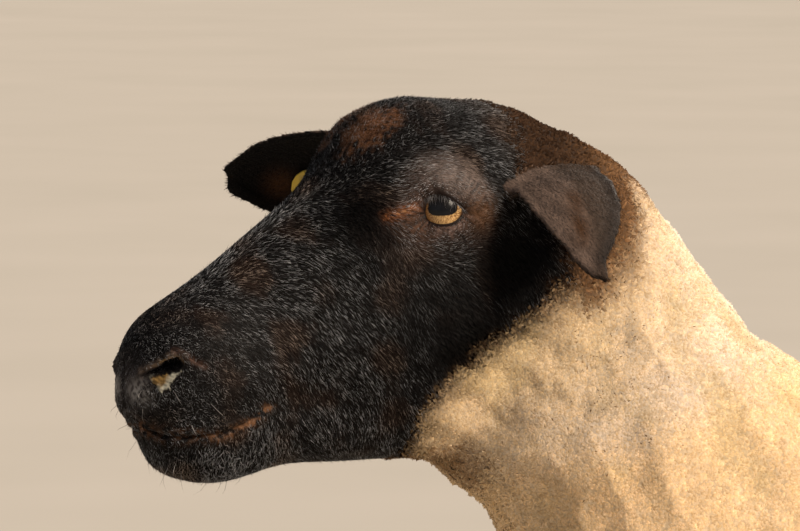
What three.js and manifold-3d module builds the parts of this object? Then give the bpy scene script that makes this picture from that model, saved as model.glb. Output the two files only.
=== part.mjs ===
// A shorn black-headed mutton sheep, standing square with its head raised and turned to its left.
// Millimetres, +Z up. The sheep faces -Y and its left side is +X; it stands on z = 0.
// Every solid is the outer form of the animal, out to the tips of wool and hair.
import * as THREE from "three";
import { mergeVertices } from "three/addons/utils/BufferGeometryUtils.js";
import Module from "manifold-3d";

const wasm = await Module();
wasm.setup();

// ---- Driving dimensions -------------------------------------------------------------------
const GAP = 0.4; // the thin cut between neighbouring parts
const BACK_HEIGHT = 745; // withers, wool included
const CHEST_FLOOR = 388; // underside of the chest
const RUMP_END = 452; // y of the back of the rump
const HEAD = {
  origin: new THREE.Vector3(45, -577, 873), // midway between the two eyes
  turn: 22, // degrees to the left of the body's line
  pitch: 22, // degrees that the long axis of the head falls towards the nose
  noseTip: 203, // along the long axis, from the origin
};
const EYE = { radius: 14.5, side: 45, forward: 0, up: 0, axis: [0.42, 0.9, 0.06] };
const LID = { radius: 16.4, long: 14.6, high: 8.6 };
const EAR = { thick: 4.2 };
const TAG = { radius: 13, thick: 2.2, pin: 2.4, bossRadius: 6, bossThick: 3 };
const CLAW = { long: 60, wide: 23, high: 44, toeSlope: 56, coronetFront: 34, coronetHeel: 19 };
// The feet's lines, how far the toes stand before them, and where the legs leave the trunk.
const DEWCLAW = { half: [6, 7, 9], sideways: 12.5, behind: 15, height: 68, lean: -0.5 };
const FORE = { y: -304, x: 77, toe: -20, cut: 436, joints: [252, 98] };
const HIND = { y: 384, x: 82, toe: -27, cut: 470, joints: [242, 100] };

const COLOURS = {
  black_hair: [0x171412, 0.62],
  ear_hair: [0x2b2523, 0.7],
  fleece: [0xd9b98c, 0.95],
  hoof: [0x2b2622, 0.55],
  eye: [0xb9853c, 0.08],
  tag: [0xd8b21a, 0.45],
};

// ---- Small tools --------------------------------------------------------------------------
const radians = THREE.MathUtils.degToRad;
const smooth = (lo, hi, x) => THREE.MathUtils.smoothstep(x, lo, hi);
const X = new THREE.Vector3(1, 0, 0);
const Y = new THREE.Vector3(0, 1, 0);
const Z = new THREE.Vector3(0, 0, 1);

// A smooth curve through [x, value] pairs that never overshoots them.
function through(...knots) {
  const n = knots.length;
  const slope = knots.slice(1).map(([x, v], i) => (v - knots[i][1]) / (x - knots[i][0]));
  const tangent = knots.map((_, i) => {
    if (i === 0) return slope[0];
    if (i === n - 1) return slope[n - 2];
    const [a, b] = [slope[i - 1], slope[i]];
    return a * b <= 0 ? 0 : (2 * a * b) / (a + b);
  });
  return (x) => {
    if (x <= knots[0][0]) return knots[0][1];
    if (x >= knots[n - 1][0]) return knots[n - 1][1];
    let i = 0;
    while (x > knots[i + 1][0]) i += 1;
    const [x0, v0] = knots[i];
    const [x1, v1] = knots[i + 1];
    const w = x1 - x0;
    const t = (x - x0) / w;
    const s = 1 - t;
    return (
      v0 * (1 + 2 * t) * s * s +
      v1 * t * t * (3 - 2 * t) +
      w * (tangent[i] * t * s * s - tangent[i + 1] * t * t * s)
    );
  };
}

const power = (x, p) => Math.sign(x) * Math.abs(x) ** p;

// A ring of points: an egg-shaped oval round a centre, with its own height above and below.
function oval(centre, across, up, size, sides) {
  const { half, above, below, square = 2, squareBelow = square } = size;
  return Array.from({ length: sides }, (_, k) => {
    const a = (2 * Math.PI * k) / sides;
    const e = 2 / (Math.sin(a) >= 0 ? square : squareBelow);
    const side = half * power(Math.cos(a), e);
    const lift = (Math.sin(a) >= 0 ? above : below) * power(Math.sin(a), e);
    return centre.clone().addScaledVector(across, side).addScaledVector(up, lift);
  });
}

// A closed skin over a row of rings, each end closed by a fan from its middle.
function loft(rings) {
  const sides = rings[0].length;
  const points = rings.flat();
  const index = [];
  for (let r = 0; r + 1 < rings.length; r += 1)
    for (let k = 0; k < sides; k += 1) {
      const a = r * sides + k;
      const b = r * sides + ((k + 1) % sides);
      index.push(a, b, b + sides, a, b + sides, a + sides);
    }
  [0, rings.length - 1].forEach((r) => {
    const middle = new THREE.Vector3();
    rings[r].forEach((p) => middle.addScaledVector(p, 1 / sides));
    points.push(middle);
    for (let k = 0; k < sides; k += 1) {
      const pair = [r * sides + k, r * sides + ((k + 1) % sides)];
      index.push(...(r === 0 ? pair.reverse() : pair), points.length - 1);
    }
  });
  return new THREE.BufferGeometry().setFromPoints(points).setIndex(index);
}

// A three.js geometry as a solid with its faces outwards.
function solid(geometry) {
  const bare = geometry.clone();
  bare.deleteAttribute("normal");
  bare.deleteAttribute("uv");
  const merged = mergeVertices(bare, 1e-3);
  const position = merged.attributes.position;
  const corner = (i) => new THREE.Vector3().fromBufferAttribute(position, i);
  const index = [...merged.index.array];
  let volume = 0;
  for (let i = 0; i < index.length; i += 3) {
    const [a, b, c] = [0, 1, 2].map((k) => corner(index[i + k]));
    volume += a.dot(b.cross(c));
  }
  if (volume < 0)
    for (let i = 0; i < index.length; i += 3)
      [index[i + 1], index[i + 2]] = [index[i + 2], index[i + 1]];
  const vertProperties = new Float32Array(position.array);
  const triVerts = new Uint32Array(index);
  return new wasm.Manifold(new wasm.Mesh({ numProp: 3, vertProperties, triVerts }));
}

function geometryOf(made) {
  const mesh = made.getMesh();
  const points = new THREE.BufferAttribute(new Float32Array(mesh.vertProperties), 3);
  return new THREE.BufferGeometry()
    .setAttribute("position", points)
    .setIndex(new THREE.BufferAttribute(new Uint32Array(mesh.triVerts), 1));
}

const join = (pieces) => pieces.reduce((all, piece) => all.add(piece));

// A box given by its lowest and highest corners, turned by a matrix if one is given.
function block(low, high, matrix = new THREE.Matrix4()) {
  const size = high.map((v, i) => v - low[i]);
  const middle = high.map((v, i) => (v + low[i]) / 2);
  return new THREE.BoxGeometry(...size).translate(...middle).applyMatrix4(matrix);
}

// Takes what lies in a box out of a body: [the piece, the rest], with the thin cut between.
function take(body, low, high, matrix) {
  const grow = (by) => solid(block(low.map((v) => v - by), high.map((v) => v + by), matrix));
  return [body.intersect(grow(-GAP / 2)), body.subtract(grow(GAP / 2))];
}

const FAR = 3000; // past everything
// Parts a body at a plane: [the side that the normal points to, the other side].
function part(body, point, normal) {
  const turn = new THREE.Quaternion().setFromUnitVectors(
    new THREE.Vector3(0, 0, 1),
    new THREE.Vector3(...normal).normalize(),
  );
  const matrix = new THREE.Matrix4().compose(
    new THREE.Vector3(...point),
    turn,
    new THREE.Vector3(1, 1, 1),
  );
  return take(body, [-FAR, -FAR, 0], [FAR, FAR, FAR], matrix);
}

// ---- Head ---------------------------------------------------------------------------------
// The head's own axes: u along it towards the nose, v to its left, w up across it.
const headMatrix = new THREE.Matrix4()
  .makeTranslation(HEAD.origin)
  .multiply(new THREE.Matrix4().makeRotationZ(radians(HEAD.turn)))
  .multiply(new THREE.Matrix4().makeRotationX(radians(HEAD.pitch)))
  .multiply(new THREE.Matrix4().set(0, 1, 0, 0, -1, 0, 0, 0, 0, 0, 1, 0, 0, 0, 0, 1));

const headTop = through(
  [-112, -2], [-83, 29], [-48, 48], [-14, 62], [8, 63], [26, 57], [42, 43], [62, 34], [90, 27],
  [150, 13], [172, 9], [186, 2], [195, -7], [200, -18], [HEAD.noseTip, -34],
);
const headBottom = through(
  [-112, -80], [-60, -115], [0, -146], [40, -146], [64, -132], [91, -121], [133, -104],
  [165, -97], [180, -91], [191, -80], [199, -62], [HEAD.noseTip, -34],
);
const headHalf = through(
  [-112, 42], [-70, 56], [-10, 60], [20, 59], [60, 52], [100, 45], [135, 41], [160, 39],
  [177, 35], [189, 28], [198, 18], [HEAD.noseTip, 5],
);
const headWidest = through(
  [-112, -34], [-60, -30], [-20, -26], [20, -34], [60, -46], [100, -48], [140, -44],
  [HEAD.noseTip, -36],
);
const headSquare = through([-112, 2], [0, 2.25], [50, 2], [120, 2.05], [165, 2.4], [190, 2.3]);

// Soft swellings and hollows on both sides: [u, v, w], reach along each axis, push along each.
const headForms = [
  { at: [-4, 58, 22], reach: [24, 30, 13], push: [0, 4.5, 2.5] }, // brow over the eye
  { at: [-26, 58, 6], reach: [16, 30, 16], push: [0, 2.5, 0] }, // back rim of the orbit
  { at: [26, 54, -14], reach: [20, 26, 14], push: [0, -3.5, 0] }, // hollow before the eye
  { at: [16, 58, -84], reach: [40, 30, 34], push: [0, 5, 0] }, // cheek
  { at: [70, 46, -52], reach: [34, 22, 12], push: [0, 2.5, 0] }, // crest of the cheekbone
  { at: [112, 36, -6], reach: [34, 20, 14], push: [0, -3, 0] }, // slope beside the nose bridge
  { at: [160, 30, -10], reach: [20, 16, 12], push: [0, 4, 1] }, // wing over the nostril
  { at: [150, 38, -44], reach: [26, 22, 16], push: [0, 2.5, 0] }, // upper lip
  { at: [198, 14, -34], reach: [12, 26, 10], push: [5, 0, 0] }, // front of the upper lip
  { at: [118, 36, -66], reach: [24, 20, 9], push: [0, -3, 0] }, // behind the mouth corner
  { at: [168, 22, -84], reach: [20, 26, 12], push: [0, 2, -2] }, // chin
  { at: [195, 8, -72], reach: [18, 26, 18], push: [4.5, 0, -2] }, // front of the lower lip
  { at: [90, 26, -112], reach: [46, 12, 14], push: [0, 1, 0] }, // edge of the jaw
];

function headPoint(p) {
  const moved = p.clone();
  const side = p.y < 0 ? -1 : 1;
  headForms.forEach(({ at, reach, push }) => {
    const d = [p.x - at[0], Math.abs(p.y) - at[1], p.z - at[2]];
    const far = d.reduce((sum, x, i) => sum + (x / reach[i]) ** 2, 0);
    const by = Math.exp(-far);
    moved.x += push[0] * by;
    moved.y += side * push[1] * by;
    moved.z += push[2] * by;
  });
  return moved;
}

// Places of the head's rings along u: evenly spaced, and closer where the muzzle rounds off.
const HEAD_SIDES = 24;
function headPlaces() {
  const back = Array.from({ length: 24 }, (_, i) => -110 + (278 * i) / 23);
  const front = Array.from({ length: 7 }, (_, i) => {
    const a = ((i + 1) / 7) * (Math.PI / 2);
    return 168 + (HEAD.noseTip - 168) * Math.sin(a);
  });
  return [...back, ...front];
}

function headShell(grow = 0) {
  const across = new THREE.Vector3(0, 1, 0);
  const up = new THREE.Vector3(0, 0, 1);
  const rings = headPlaces().map((u) => {
    const middle = headWidest(u);
    const size = {
      half: headHalf(u) + grow,
      above: headTop(u) - middle + grow,
      below: middle - headBottom(u) + grow,
      square: headSquare(u),
      squareBelow: headSquare(u) + 0.25,
    };
    return oval(new THREE.Vector3(u, 0, middle), across, up, size, HEAD_SIDES).map(headPoint);
  });
  return solid(loft(rings));
}

// The eye looks along its axis; these axes have their third one along it.
function eyeMatrix(side) {
  const [f, s, u] = EYE.axis;
  const out = new THREE.Vector3(f, side * s, u).normalize();
  const long = new THREE.Vector3(1, 0, 0.22).projectOnPlane(out).normalize();
  const high = out.clone().cross(long);
  return new THREE.Matrix4()
    .makeBasis(long, high, out)
    .setPosition(EYE.forward, side * EYE.side, EYE.up);
}

const ball = (radius, around, rows) => new THREE.SphereGeometry(radius, around, rows);
const eyeBall = (radius) => ball(radius, 16, 10);

// The almond between the lids, as a prism out of the eye.
function lidOpening() {
  const { long, high } = LID;
  const almond = new THREE.Shape();
  almond.moveTo(-long, 0);
  almond.bezierCurveTo(-long * 0.5, high * 1.45, long * 0.5, high * 1.45, long, 0);
  almond.bezierCurveTo(long * 0.5, -high * 0.85, -long * 0.5, -high * 0.85, -long, 0);
  return new THREE.ExtrudeGeometry(almond, {
    depth: 2 * LID.radius,
    bevelEnabled: false,
    curveSegments: 5,
  });
}

// A nostril is a slanting slot that runs back into the muzzle.
function nostril(side) {
  const slot = ball(1, 10, 6)
    .scale(12, 8, 3.4)
    .rotateY(0.12)
    .rotateZ(side * -0.6)
    .translate(184.5, side * 26.5, -16.5);
  return solid(slot);
}

function headSolid() {
  let head = headShell();
  [1, -1].forEach((side) => {
    const matrix = eyeMatrix(side);
    const lids = solid(ball(LID.radius, 14, 9).applyMatrix4(matrix));
    const socket = solid(eyeBall(EYE.radius + GAP).applyMatrix4(matrix));
    const opening = solid(lidOpening().applyMatrix4(matrix));
    head = head.add(lids).subtract(socket).subtract(opening).subtract(nostril(side));
  });
  return head;
}

const eyeSolid = (side) => solid(eyeBall(EYE.radius).applyMatrix4(eyeMatrix(side)));

// ---- Ears ---------------------------------------------------------------------------------
// An ear is a leaf between its front rim and its rear rim, arched to its back like a gutter,
// its hollow side down and forward. Rims run from root to tip; `curl` is half of the arch's turn.
const EARS = {
  left: {
    side: 1,
    front: [[-43, 42, -2], [-38, 66, -6], [-33, 88, -17], [-33, 105, -34], [-36, 116, -50], [-43, 123, -59]],
    rear: [[-93, 40, -16], [-95, 63, -19], [-86, 85, -30], [-69, 102, -39], [-51, 114, -47], [-45, 123, -57]],
    curl: through([0, 0.2], [0.3, 0.3], [0.6, 0.42], [1, 0.3]),
  },
  right: {
    side: -1,
    front: [[-47, 27, -12], [-33, 47, 3], [-23, 67, 27], [-3, 92, 37.5], [18, 119, 39], [35, 143, 28]],
    rear: [[-56, 40, -37], [-43, 67, -35], [-30, 95, -34], [-11, 118, -26], [10, 137, -11], [32, 145, 13]],
    curl: through([0, 2.16], [0.2, 1.78], [0.4, 1.08], [0.6, 0.82], [0.8, 0.63], [1, 0.45]),
  },
};

// The ear at t from root to tip: its middle, half its width, and its forward and back directions.
function earFrame({ side, front, rear }, t) {
  const [fore, aft] = [front, rear].map(
    (rim) => new THREE.CatmullRomCurve3(rim.map(([u, v, w]) => new THREE.Vector3(u, side * v, w))),
  );
  const ahead = fore.getPoint(t).sub(aft.getPoint(t));
  const along = fore.getTangent(t).add(aft.getTangent(t)).normalize();
  const half = ahead.length() / 2;
  const forward = ahead.projectOnPlane(along).normalize();
  const back = along.clone().cross(forward).multiplyScalar(-side).normalize();
  return { at: fore.getPoint(t).add(aft.getPoint(t)).divideScalar(2), along, forward, back, half };
}

const EAR_STEPS = 6; // flats across the leaf
// A cross-section of the leaf: an arc with its two faces a wall apart, thin at the edges.
function earRing(ear, t) {
  const { at, forward, back, half } = earFrame(ear, t);
  const curl = ear.curl(t);
  const radius = half / Math.sin(curl);
  const point = (s, lift) =>
    at
      .clone()
      .addScaledVector(forward, (radius + lift) * Math.sin(s * curl))
      .addScaledVector(back, (radius + lift) * Math.cos(s * curl) - radius * Math.cos(curl));
  const across = Array.from({ length: EAR_STEPS + 1 }, (_, k) => -1 + (2 * k) / EAR_STEPS);
  const wall = (s) => (EAR.thick / 2) * (0.55 + 0.45 * Math.sqrt(Math.max(0, 1 - s * s)));
  const outer = across.map((s) => point(s, wall(s)));
  const inner = across.map((s) => point(-s, -wall(s)));
  return [...outer, ...inner];
}

function earLoft(ear) {
  const places = Array.from({ length: 14 }, (_, i) => Math.sin(((i / 13) * Math.PI) / 2));
  return solid(loft(places.map((t) => earRing(ear, t))));
}

// The button tag sits behind the middle of the right ear, its pin through the leaf.
const TAG_PLACE = { along: 0.656, across: -0.4 };
function tagMatrix() {
  const { at, along, forward, back, half } = earFrame(EARS.right, TAG_PLACE.along);
  const curl = EARS.right.curl(TAG_PLACE.along);
  const radius = half / Math.sin(curl);
  const turn = TAG_PLACE.across * curl;
  const outward = back.clone().multiplyScalar(Math.cos(turn)).addScaledVector(forward, Math.sin(turn));
  const middle = at
    .clone()
    .addScaledVector(outward, radius)
    .addScaledVector(back, -radius * Math.cos(curl));
  const cross = outward.clone().cross(along).normalize();
  return new THREE.Matrix4().makeBasis(along, cross, outward).setPosition(middle);
}

// A disc along z of the tag's own axes, from one height to another.
function disc(radius, from, to) {
  return new THREE.CylinderGeometry(radius, radius, to - from, 16)
    .rotateX(Math.PI / 2)
    .translate(0, 0, (from + to) / 2);
}

function tagSolids() {
  const matrix = tagMatrix();
  const place = (...shape) => solid(disc(...shape).applyMatrix4(matrix));
  const under = EAR.thick / 2 + 3.4; // the leaf's curve lies between the two discs
  const over = EAR.thick / 2 + 2;
  const front = join([
    place(TAG.radius, -under - TAG.thick, -under),
    place(TAG.pin, -under - TAG.thick + 0.5, over),
  ]);
  const cap = over + GAP;
  const back = join([
    place(TAG.radius * 0.9, cap, cap + TAG.thick),
    place(TAG.bossRadius, cap + 1, cap + 1 + TAG.bossThick),
  ]);
  return { front, back, hole: place(TAG.pin + GAP, -20, 20) };
}

// ---- Trunk and neck -------------------------------------------------------------------------
const trunkTop = through(
  [-448, 590], [-436, 640], [-405, 690], [-350, 726], [-270, BACK_HEIGHT],
  [-180, BACK_HEIGHT - 2], [-60, 732], [80, 729], [200, 735], [290, 737], [350, 728],
  [400, 706], [432, 672], [RUMP_END, 620],
);
const trunkBottom = through(
  [-448, 520], [-438, 462], [-415, 425], [-370, 398], [-290, CHEST_FLOOR - 2],
  [-120, CHEST_FLOOR - 4], [60, CHEST_FLOOR], [180, 404], [260, 436], [330, 470],
  [400, 500], [438, 540], [RUMP_END, 600],
);
const trunkHalf = through(
  [-448, 34], [-436, 70], [-405, 104], [-350, 134], [-280, 147], [-180, 158], [-60, 176],
  [60, 184], [170, 180], [260, 172], [330, 162], [390, 142], [430, 104], [RUMP_END, 44],
);
const trunkWidest = through([-448, 560], [-350, 545], [-60, 540], [120, 555], [300, 600],
  [RUMP_END, 612]);

function trunkSolid() {
  const places = Array.from({ length: 19 }, (_, i) => {
    const t = i / 18;
    return -448 + (RUMP_END + 448) * (t - Math.sin(2 * Math.PI * t) * 0.095);
  });
  const rings = places.map((y) => {
    const middle = trunkWidest(y);
    const size = {
      half: trunkHalf(y),
      above: trunkTop(y) - middle,
      below: middle - trunkBottom(y),
      square: 2.25,
      squareBelow: 2.1,
    };
    return oval(new THREE.Vector3(0, y, middle), X, Z, size, 20);
  });
  return solid(loft(rings));
}

// The neck's sections run from a point on the crest to one on the throat, [y, z] each, with
// the middle's x, the half width and the turn of the section in degrees.
const neckSections = [
  { crest: [-545, 905], throat: [-580, 770], x: 34, half: 44, turn: 22 },
  { crest: [-500, 922], throat: [-562, 722], x: 28, half: 58, turn: 20 },
  { crest: [-466, 911], throat: [-543, 705], x: 21, half: 66, turn: 16 },
  { crest: [-430, 878], throat: [-524, 690], x: 14, half: 70, turn: 12 },
  { crest: [-398, 834], throat: [-508, 652], x: 8, half: 76, turn: 8 },
  { crest: [-360, 794], throat: [-490, 590], x: 3, half: 88, turn: 3 },
  { crest: [-305, 766], throat: [-470, 520], x: 0, half: 104, turn: 0 },
  { crest: [-250, 742], throat: [-440, 450], x: 0, half: 118, turn: 0 },
  { crest: [-200, 700], throat: [-380, 430], x: 0, half: 112, turn: 0 },
];

function neckSolid(grow = 0) {
  const last = neckSections.length - 1;
  const of = (pick) => through(...neckSections.map((s, i) => [i, pick(s)]));
  const [cy, cz, ty, tz] = [
    of((s) => s.crest[0]),
    of((s) => s.crest[1]),
    of((s) => s.throat[0]),
    of((s) => s.throat[1]),
  ];
  const [x, half, turn] = [of((s) => s.x), of((s) => s.half), of((s) => s.turn)];
  const count = 13;
  const rings = Array.from({ length: count + 1 }, (_, i) => {
    const t = (last * i) / count;
    const crest = new THREE.Vector3(x(t), cy(t), cz(t));
    const throat = new THREE.Vector3(x(t), ty(t), tz(t));
    const across = X.clone().applyAxisAngle(Z, radians(turn(t)));
    const up = crest.clone().sub(throat);
    const height = up.length();
    up.normalize();
    const middle = throat.clone().addScaledVector(up, height * 0.5);
    const reach = height / 2 + grow;
    const size = { half: half(t) + grow, above: reach, below: reach, square: 2.1 };
    return oval(middle, across, up, size, 20);
  });
  return solid(loft(rings));
}

// A docked tail hangs close to the rump.
function tailSolid() {
  const drop = through([0, 0], [0.35, 26], [1, 158]);
  const out = through([0, -34], [0.35, 4], [0.7, 14], [1, 10]);
  const half = through([0, 34], [0.3, 35], [0.7, 28], [0.93, 17], [1, 4]);
  const rings = Array.from({ length: 9 }, (_, i) => {
    const t = Math.sin(((i / 8) * Math.PI) / 2);
    const centre = new THREE.Vector3(0, RUMP_END + out(t) - 8, 684 - drop(t));
    const size = { half: half(t), above: half(t) * 0.62, below: half(t) * 0.62 };
    return oval(centre, X, Y.clone().lerp(Z, 0.5 * (1 - t)).normalize(), size, 12);
  });
  return solid(loft(rings));
}

// ---- Legs -----------------------------------------------------------------------------------
// Each leg is a stack of level ovals, one at each of these places: [height, y of the middle
// from the foot's line, half length fore and aft, x of the middle outwards, half width].
const FORE_STATIONS = {
  shoulder: [650, -30, 40, 0, 26],
  shoulder_point: [600, -34, 78, 4, 40],
  upper_arm: [540, -34, 86, 6, 46],
  elbow: [480, -16, 80, 6, 45],
  forearm_top: [425, 3, 61, 5, 41],
  forearm: [370, 7, 44, 3, 34],
  forearm_end: [310, 3, 33, 1, 29],
  knee_top: [265, 1, 27.5, 0, 27],
  knee: [228, -1, 27.5, 0, 27.5],
  cannon_top: [196, 0, 21, 0, 22],
  cannon: [140, 2, 17.5, 0, 17.5],
  fetlock: [84, 0, 23.5, 0, 23.5],
  pastern: [62, -7, 20.5, 0, 22],
  coronet: [26, -20, 31, 0, 28],
  sole: [14, -22, 30, 0, 27],
};
const HIND_STATIONS = {
  hip: [650, -66, 70, -4, 50],
  croup: [610, -66, 100, -4, 68],
  thigh_top: [560, -66, 116, -4, 76],
  thigh: [500, -68, 113, -6, 73],
  stifle: [445, -64, 97, 0, 58],
  gaskin_top: [395, -50, 73, 3, 44],
  gaskin: [345, -24, 51, 2, 32],
  gaskin_end: [305, 0, 39, 0, 26],
  hock: [255, 15, 31, 0, 24],
  cannon_top: [212, 9, 21.5, 0, 19],
  cannon: [145, 2, 18, 0, 17.5],
  fetlock: [86, -3, 24, 0, 23.5],
  pastern: [63, -12, 20.5, 0, 22],
  coronet: [26, -27, 31, 0, 28],
  sole: [14, -29, 30, 0, 27],
};
const LEGS = [
  { name: "foreleg_left", side: 1, foot: FORE, step: -14 },
  { name: "foreleg_right", side: -1, foot: FORE, step: 12 },
  { name: "hindleg_left", side: 1, foot: HIND, step: 16 },
  { name: "hindleg_right", side: -1, foot: HIND, step: -20 },
];
const STEP_FADES = 520; // height at which a leg's step forward or back has died out

function legSolid({ side, foot, step }, grow = 0) {
  const stations = Object.values(foot === FORE ? FORE_STATIONS : HIND_STATIONS);
  const of = (column) => through(...stations.map((r) => [r[0], r[column]]).reverse());
  const [y, long, x, wide] = [1, 2, 3, 4].map(of);
  const count = 19;
  const [top, bottom] = [stations[0][0], stations[stations.length - 1][0]];
  const made = Array.from({ length: count + 1 }, (_, i) => {
    const z = top + (bottom - top) * (i / count);
    const sway = step * (1 - smooth(0, STEP_FADES, z));
    const centre = new THREE.Vector3(side * (foot.x + x(z)), foot.y + y(z) + sway, z);
    const reach = long(z) + grow;
    return oval(centre, X, Y, { half: wide(z) + grow, above: reach, below: reach }, 10);
  });
  return solid(loft(made));
}

const footPlace = ({ side, foot, step }) => [side * foot.x, foot.y + step + foot.toe];

// The coronet slopes from the front of the claws down to their heels.
function coronet([x, y]) {
  const rise = (CLAW.coronetFront - CLAW.coronetHeel) / (CLAW.long * 0.6);
  return { point: [x, y, (CLAW.coronetFront + CLAW.coronetHeel) / 2], normal: [0, rise, 1] };
}

// One claw: flat on the inner side and the sole, its toe sloping back as it rises.
function clawSolid(leg, side) {
  const [x, y] = footPlace(leg);
  const heights = [0, 4, 20, CLAW.high];
  const rings = heights.map((z) => {
    const back = z / Math.tan(radians(CLAW.toeSlope));
    const long = CLAW.long / 2 - back * 0.5;
    const wide = CLAW.wide * (z < 4 ? 0.93 + z * 0.0175 : 1 - z * 0.003);
    const middle = y - 4 + back * 0.5;
    return Array.from({ length: 12 }, (_, k) => {
      const a = (2 * Math.PI * k) / 12;
      const out = Math.max(0, Math.cos(a)) * wide;
      const forward = -Math.sin(a) * long;
      const taper = 1 - 0.3 * smooth(0.1, 1, Math.sin(a));
      return new THREE.Vector3(x + side * (1.6 + out * taper), middle + forward, z);
    });
  });
  const { point, normal } = coronet([x, y]);
  return part(solid(loft(rings)), point, normal)[1];
}

// Dewclaws are two small horn buttons behind the fetlock.
function dewclawSolid(leg, side, grow = 0) {
  const { half, sideways, behind, height, lean } = DEWCLAW;
  const [x, y] = footPlace(leg);
  const button = ball(1, 6, 5).scale(...half.map((v) => v + grow)).rotateX(lean);
  return solid(button.translate(x + side * sideways, y - leg.foot.toe + behind, height));
}

// ---- The whole animal, parted ---------------------------------------------------------------
const made = {}; // node name: [solid, colour name]
const put = (name, piece, colour) => {
  made[name] = [piece, colour];
};

const inRow = (piece) => piece.transform(headMatrix.elements);
const legs = LEGS.map((leg) => legSolid(leg));
const head = inRow(headSolid());
let body = join([trunkSolid(), neckSolid(), tailSolid(), ...legs, head]);

// The eye sockets stay open where the neck or trunk would have filled them.
[1, -1].forEach((side) => {
  put(side > 0 ? "eye_left" : "eye_right", inRow(eyeSolid(side)), "eye");
});

// Each leg comes off at its own outline below the elbow or the stifle, and is parted at its
// joints.
const LEG_PARTS = { foreleg: ["forearm", "cannon", "pastern"], hindleg: ["thigh", "cannon", "pastern"] };
LEGS.forEach((leg) => {
  const names = LEG_PARTS[leg.name.split("_")[0]];
  let [, piece] = part(legSolid(leg), [0, 0, leg.foot.cut], [0, 0, 1]);
  const [, socket] = part(legSolid(leg, GAP), [0, 0, leg.foot.cut + GAP], [0, 0, 1]);
  body = body.subtract(socket);
  const { point, normal } = coronet(footPlace(leg));
  [piece] = part(piece, point, normal);
  [1, -1].forEach((side) => {
    const where = side === leg.side ? "outer" : "inner";
    piece = piece.subtract(dewclawSolid(leg, side, GAP));
    put(`${leg.name}_claw_${where}`, clawSolid(leg, side), "hoof");
    put(`${leg.name}_dewclaw_${where}`, dewclawSolid(leg, side), "hoof");
  });
  names.forEach((name, i) => {
    const cut = leg.foot.joints[i];
    let upper = piece;
    if (cut) [upper, piece] = part(piece, [0, 0, cut], [0, 0, 1]);
    put(`${leg.name}_${name}`, upper, i === 0 ? "fleece" : "black_hair");
  });
});

// Head from neck, from the poll to the throat.
const HEAD_CUT = { point: [24, -517, 817], normal: [0, -0.93, 0.37] };
const faceWards = new THREE.Vector3(...HEAD_CUT.normal).applyAxisAngle(Z, radians(HEAD.turn * 0.7));
let headPart;
[headPart, body] = part(body, HEAD_CUT.point, faceWards.toArray());

// The lower jaw comes off along the mouth, back to the corner of the jaw.
const MOUTH = { front: [207, 0, -46], slope: -13, toJawCorner: -172 };
const mouthMatrix = headMatrix
  .clone()
  .multiply(new THREE.Matrix4().makeTranslation(...MOUTH.front))
  .multiply(new THREE.Matrix4().makeRotationY(radians(MOUTH.slope)));
let jaw;
[jaw, headPart] = take(headPart, [MOUTH.toJawCorner, -90, -120], [60, 90, 0], mouthMatrix);
put("lower_jaw", jaw, "black_hair");

// The muzzle comes off square across the head, before the mouth's corners.
const MUZZLE_BACK = 118;
const muzzleAt = new THREE.Vector3(MUZZLE_BACK, 0, 0).applyMatrix4(headMatrix);
const noseWards = new THREE.Vector3(1, 0, 0).transformDirection(headMatrix);
let muzzle;
[muzzle, headPart] = part(headPart, muzzleAt.toArray(), noseWards.toArray());
put("muzzle", muzzle, "black_hair");
put("head", headPart, "black_hair");

// The ears stop at the skin of the head, and the tag's pin goes through the right one.
const tag = tagSolids();
const headCutter = inRow(headShell(GAP)).add(neckSolid(GAP));
Object.entries(EARS).forEach(([name, ear]) => {
  let leaf = inRow(earLoft(ear)).subtract(headCutter);
  if (name === "right") leaf = leaf.subtract(inRow(tag.hole));
  const pieces = leaf.decompose().sort((a, b) => b.volume() - a.volume());
  put(`ear_${name}`, pieces[0], "ear_hair");
});
put("ear_tag_front", inRow(tag.front), "tag");
put("ear_tag_back", inRow(tag.back), "tag");

// Neck, tail and the three lengths of the trunk.
const NECK_CUT = { point: [0, -392, 640], normal: [0, -0.86, 0.5] };
const TAIL_BOX = [[-60, RUMP_END + 1, 480], [60, 600, 720]];
const RIBS = { front: -150, back: 170 };
let [neck, tail, chest, rump] = [];
[neck, body] = part(body, NECK_CUT.point, NECK_CUT.normal);
[tail, body] = take(body, ...TAIL_BOX);
[chest, body] = part(body, [0, RIBS.front, 0], [0, -1, 0]);
[rump, body] = part(body, [0, RIBS.back, 0], [0, 1, 0]);
Object.entries({ neck, tail, chest, barrel: body, rump }).forEach(([name, piece]) => {
  put(name, piece, "fleece");
});

// ---- The group ------------------------------------------------------------------------------
const sheep = new THREE.Group();
Object.entries(made).forEach(([name, [piece, colour]]) => {
  const [tint, roughness] = COLOURS[colour];
  const material = new THREE.MeshStandardMaterial({ color: tint, roughness, metalness: 0 });
  const mesh = new THREE.Mesh(geometryOf(piece), material);
  mesh.name = name;
  sheep.add(mesh);
});

// The origin is on the floor under the middle of the whole animal.
const middle = new THREE.Box3().setFromObject(sheep, true).getCenter(new THREE.Vector3());
sheep.position.set(-middle.x, -middle.y, 0);

export default sheep;
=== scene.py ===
# %% [markdown]
# # A black-faced ewe, life size
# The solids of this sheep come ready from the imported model: head, neck, trunk, legs, ears, hooves and tag.
# This lesson gives them their looks. One skin is drawn over all the flesh, the face is sculpted on it, and
# the coat then grows from the skin as thousands of small closed locks and hairs.

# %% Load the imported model
import math

import bmesh
import bpy
import numpy as np
from mathutils import Matrix, Vector
from mathutils.bvhtree import BVHTree


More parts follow.
